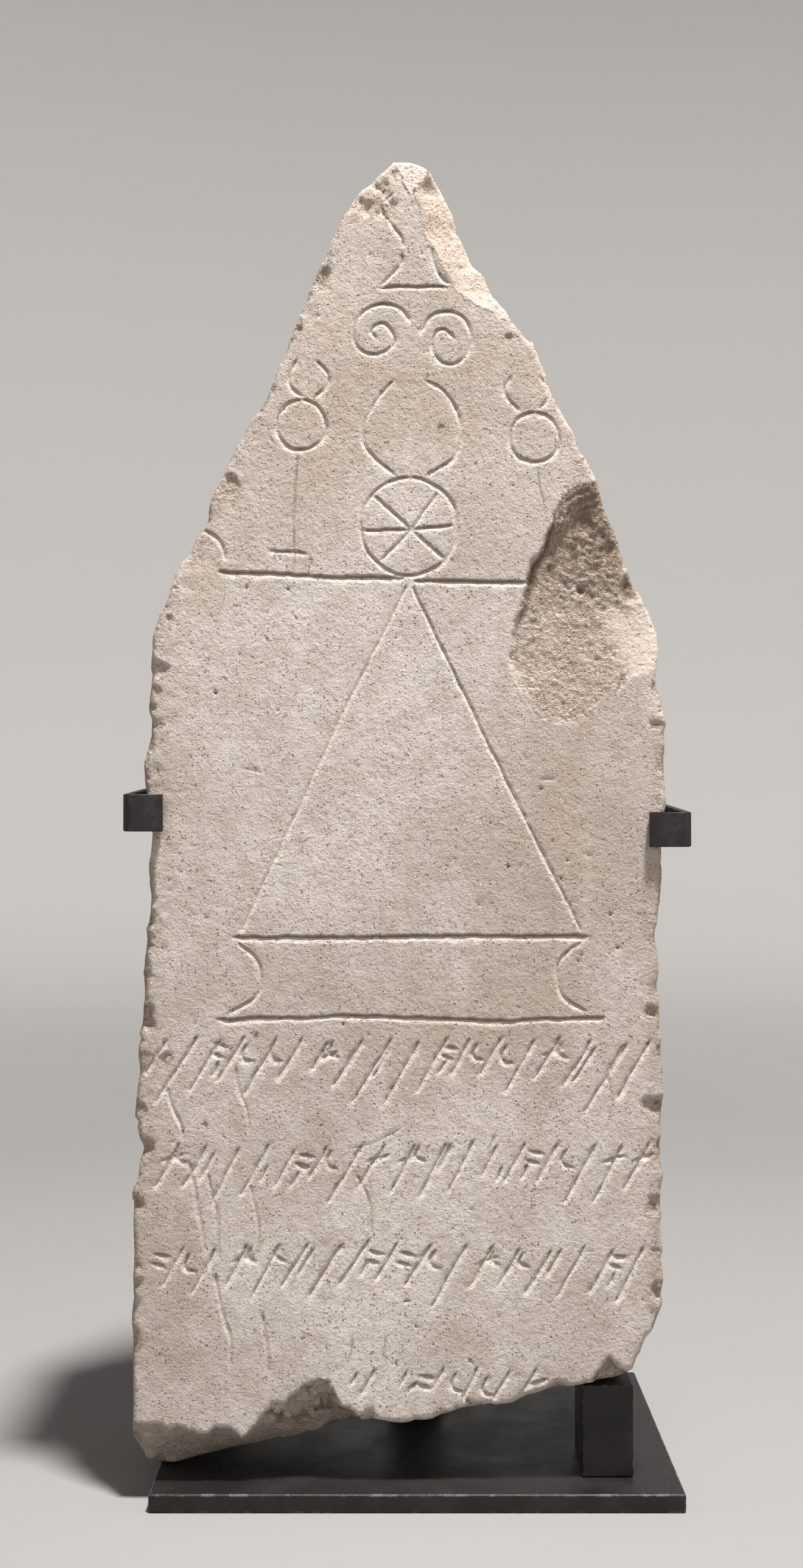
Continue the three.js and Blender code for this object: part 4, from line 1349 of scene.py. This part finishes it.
# Colours of the stone
PALE_BLOTCH = (0.575, 0.52, 0.49)
DARK_BLOTCH = (0.445, 0.39, 0.352)
SHADED = (0.36, 0.305, 0.27)
BLEACHED = (0.62, 0.565, 0.53)
OCHRE = (0.44, 0.345, 0.25)
WATER_RUN = (0.62, 0.565, 0.525)
MOTTLED = (0.345, 0.28, 0.225)
GRAINY = (0.32, 0.255, 0.205)
BROKEN_TOP = (0.43, 0.345, 0.265)
BROKEN_CREVICE = (0.19, 0.135, 0.095)
FLAKE = (0.50, 0.41, 0.35)
FLAKE_FLECK = (0.28, 0.185, 0.13)
# Dirt with painted shade, and the painted highlight on lips
DIRT_AND_SHADE = (0.13, 0.085, 0.055)
LIT_LIP = (0.68, 0.62, 0.56)
WHITE_SPECK = (0.78, 0.71, 0.64)
# Painted shade in the crannies and the pits
CRANNY_SHADE = (0.22, 0.155, 0.105)
PIT_SHADE = (0.17, 0.125, 0.085)
STONE_RELIEF = 0.88 * MM


def stone_colour(n, marks, grain, specks, crannies, pits):
    """Soft blotches, stains and runs, then the breaks, dirt and painted shade, painted highlights on lips,
    specks, and painted shade in crannies and pits.
    """
    broken, dirty_and_shaded, pale = marks
    dark, brown, lip = n.marks("tones")
    colour = n.mix(n.span(n.noise(16, 4, 0.6), 0.36, 0.68), PALE_BLOTCH, DARK_BLOTCH)
    colour = n.mix(n.span(dark, 0.5, 1.0, 0.0, 0.75, "LINEAR"), colour, SHADED)
    colour = n.mix(n.span(dark, 0.5, 0.0, 0.0, 0.6, "LINEAR"), colour, BLEACHED)
    warm = n.span(n.noise(60, 4, 0.6), 0.4, 0.7)
    colour = n.tint(colour, n.times(n.plus(warm, 0.35), brown), 0.55, OCHRE)
    runs = n.span(n.noise(1, 4, 0.5, source=n.stretched((150, 150, 13))), 0.52, 0.72)
    colour = n.tint(colour, runs, 0.2, WATER_RUN)
    colour = n.mix(n.span(n.noise(130, 6, 0.75), 0.42, 0.66, 0, 0.4), colour, MOTTLED)
    colour = n.mix(n.span(grain, 0.46, 0.66, 0, 0.48), colour, GRAINY)

    rough_floor = n.mix(n.span(n.noise(700, 5, 0.75), 0.36, 0.62), BROKEN_TOP, BROKEN_CREVICE)
    colour = n.tint(colour, broken, 0.82, rough_floor)
    flecks = n.span(n.noise(900, 4, 0.75), 0.5, 0.64)
    drift = n.span(n.noise(55, 3, 0.6), 0.35, 0.7, 0.25, 1.0)
    colour = n.tint(colour, pale, 0.85, n.tint(FLAKE, flecks, drift, FLAKE_FLECK))
    # Dirt with painted shade, painted highlights on lips, pale specks, and painted shade in the crannies
    # and pits
    for share, strength, tone in (
        (dirty_and_shaded, 0.88, DIRT_AND_SHADE), (lip, 0.5, LIT_LIP), (specks, 0.65, WHITE_SPECK),
        (crannies, 0.8, CRANNY_SHADE), (pits, 0.5, PIT_SHADE),
    ):
        colour = n.tint(colour, share, strength, tone)
    return colour


def limestone():
    """Pale grey-beige stone, finely granular, with pits, specks, soft blotches and browner breaks."""
    n = Nodes("limestone")
    grain = n.noise(950, 4, 0.75)
    specks = n.dots(1000, 0.5, 0.36, 0.14, n.warped(1500, 0.0006))
    clustered = n.span(n.noise(110, 3, 0.6), 0.34, 0.6, 0.3, 1.0)
    crannies = n.times(n.dots(980, 0.85, 0.5, 0.3, n.warped(1500, 0.0011)), clustered)
    pits = n.dots(440, 0.16, 0.34, 0.16, n.warped(800, 0.0022))
    marks = n.marks("marks")
    n.join(stone_colour(n, marks, grain, specks, crannies, pits), n.shader.inputs["Base Color"])
    n.join(n.span(grain, 0.3, 0.7, 0.84, 0.97), n.shader.inputs["Roughness"])
    n.shader.inputs["Specular IOR Level"].default_value = 0.25

    broken, _, pale = marks
    pebbly = n.times(broken, n.sum("SUBTRACT", 2.2, n.times(pale, 1.7)))
    relief = n.times(n.noise(900, 3, 0.6), pebbly)
    for height, strength in (
        (grain, 0.65), (n.noise(330, 4, 0.65), 0.9), (specks, 0.2), (crannies, -0.42), (pits, -0.5),
    ):
        relief = n.plus(relief, n.times(height, strength))
    n.join(n.bump(relief, STONE_RELIEF), n.shader.inputs["Normal"])
    return n.material


# Colours of the mount
PAINT = (0.0085, 0.0068, 0.0065)
PAINT_CLOUD = (0.0135, 0.011, 0.0105)
DUST = (0.12, 0.10, 0.09)
RUBBED = (0.16, 0.145, 0.135)
PAINT_RELIEF = 0.08 * MM


def black_paint():
    """Black satin paint on steel, faintly mottled, thin along the edges, with a little dust."""
    n = Nodes("black_paint")
    worn = n.marks("marks")[0]
    cloud = n.noise(60, 4, 0.6)
    colour = n.mix(n.span(cloud, 0.4, 0.65), PAINT, PAINT_CLOUD)
    colour = n.tint(colour, n.span(n.noise(900, 3, 0.7), 0.6, 0.78), 0.25, DUST)
    scuffs = n.span(n.noise(240, 5, 0.65), 0.5, 0.62)
    colour = n.tint(colour, n.times(worn, scuffs), 0.45, RUBBED)
    n.join(colour, n.shader.inputs["Base Color"])
    n.join(n.span(cloud, 0.3, 0.7, 0.42, 0.56), n.shader.inputs["Roughness"])
    n.shader.inputs["Specular IOR Level"].default_value = 0.32
    skin = n.plus(n.noise(1500, 3, 0.6), n.times(n.noise(180, 2, 0.5), 1.5))
    n.join(n.bump(skin, PAINT_RELIEF), n.shader.inputs["Normal"])
    return n.material


# Colours of the floor near the stone, where the key light is strongest, and away from it, where less light
# falls
NEAR_FLOOR = (0.24, 0.237, 0.232)
NEAR_CLOUD = (0.26, 0.257, 0.252)
FAR_FLOOR = (0.62, 0.61, 0.60)


def floor_paint():
    """Matt paint, greyer near the stone and brighter further out: painted light that evens out how the
    lamps light the floor.
    """
    n = Nodes("pale_floor")
    near = n.mix(n.noise(2.5, 3, 0.5), NEAR_FLOOR, NEAR_CLOUD)
    reach = n.add("ShaderNodeVectorMath", operation="LENGTH")
    n.join(n.place, reach.inputs[0])
    # Painted light: brighter with distance from the stone, where the lamps light the floor less
    away = n.span(reach.outputs["Value"], 0.5, 2.2)
    n.join(n.mix(away, near, FAR_FLOOR), n.shader.inputs["Base Color"])
    n.shader.inputs["Roughness"].default_value = 0.9
    n.shader.inputs["Specular IOR Level"].default_value = 0.1
    return n.material


# Stage, lights and camera

FLOOR_RADIUS = 1.5
FLOOR_BEND = 1.0
BACKDROP = 1.6
FLOOR_RINGS = 6
CURVE_RINGS = 12
FLOOR_SIDES = 72


def make_stage():
    """A pale floor that curves up all round."""
    profile = [(FLOOR_RADIUS * i / FLOOR_RINGS, 0) for i in range(FLOOR_RINGS + 1)]
    for i in range(1, CURVE_RINGS + 1):
        turn = math.pi / 2 * i / CURVE_RINGS
        profile.append((FLOOR_RADIUS + FLOOR_BEND * math.sin(turn), FLOOR_BEND * (1 - math.cos(turn))))
    profile.append((FLOOR_RADIUS + FLOOR_BEND, FLOOR_BEND + BACKDROP))
    around = FLOOR_SIDES
    points = [(0, 0, 0)]
    for radius, level in profile[1:]:
        for i in range(around):
            turn = 2 * math.pi * i / around
            points.append((radius * math.cos(turn), radius * math.sin(turn), level))
    faces = [(0, 1 + i, 1 + (i + 1) % around) for i in range(around)]
    for k in range(len(profile) - 2):
        for i in range(around):
            j = (i + 1) % around
            a = 1 + k * around
            faces.append((a + i, a + around + i, a + around + j, a + j))
    mesh = bpy.data.meshes.new("floor")
    mesh.from_pydata(points, [], faces)
    mesh.shade_smooth()
    floor = bpy.data.objects.new("floor", mesh)
    bpy.context.scene.collection.objects.link(floor)
    mesh.materials.append(floor_paint())


def add_light(name, place, target, size, power, colour):
    data = bpy.data.lights.new(name, "AREA")
    data.shape = "DISK"
    data.size = size
    data.energy = power
    data.color = colour
    light = bpy.data.objects.new(name, data)
    bpy.context.scene.collection.objects.link(light)
    light.location = place
    light.rotation_euler = (Vector(target) - Vector(place)).to_track_quat("-Z", "Y").to_euler()
    return light


WORLD_COLOUR = (1.0, 0.97, 0.94, 1)
WORLD_STRENGTH = 0.1
STONE_MIDDLE = Vector((0, FACE, 0.22))
KEY_PLACE = STONE_MIDDLE + Vector((0.165, -0.235, 0.97)).normalized() * 1.7
# Each light's name, place, width, power and colour
LIGHTS = [
    ("key", KEY_PLACE, 0.22, 84, (1.0, 0.978, 0.957)),
    ("front_fill", (-0.5, -2.0, 0.9), 1.4, 5, (1.0, 0.97, 0.96)),
    ("side_fill", (1.6, -1.0, 0.8), 1.0, 4, (1.0, 0.97, 0.95)),
]


def make_lights():
    """A small steep light that rakes the carving, two weak soft ones, and a faint even glow."""
    world = bpy.data.worlds.new("studio")
    world.use_nodes = True
    background = world.node_tree.nodes["Background"]
    background.inputs["Color"].default_value = WORLD_COLOUR
    background.inputs["Strength"].default_value = WORLD_STRENGTH
    bpy.context.scene.world = world
    for name, place, width, power, colour in LIGHTS:
        add_light(name, place, STONE_MIDDLE, width, power, colour)


CAMERA_PLACE = (-5 * MM, -651 * MM, 220.2 * MM)
CAMERA_RISE = math.radians(1.184)
LENS = 41.93
SENSOR_WIDTH = 36


def make_camera():
    """The photograph's viewing angle: low, close and almost level."""
    data = bpy.data.cameras.new("camera")
    data.sensor_width = SENSOR_WIDTH
    data.lens = LENS
    data.clip_start = 0.01
    data.clip_end = 50
    camera = bpy.data.objects.new("camera", data)
    bpy.context.scene.collection.objects.link(camera)
    camera.location = CAMERA_PLACE
    camera.rotation_euler = Euler((math.pi / 2 + CAMERA_RISE, 0, 0))
    bpy.context.scene.camera = camera


def build():
    make_camera()
    make_lights()
    make_stage()
    stone = build_stone()
    stone.data.materials.append(limestone())
    paint = black_paint()
    mount = [
        rounded_block("mount_plate", "base_plate", PLATE_BEVEL),
        rounded_block("mount_post", "foot_post", BAR_BEVEL),
        rounded_block("mount_bar", "cross_bar", BAR_BEVEL),
        rounded_block("mount_upright", "rear_upright", BAR_BEVEL),
        strap("left_strap", "left_clip", -1),
        strap("right_strap", "right_clip", 1),
    ]
    for piece in mount:
        piece.data.materials.append(paint)
    bpy.context.scene.view_settings.view_transform = "Standard"


build()
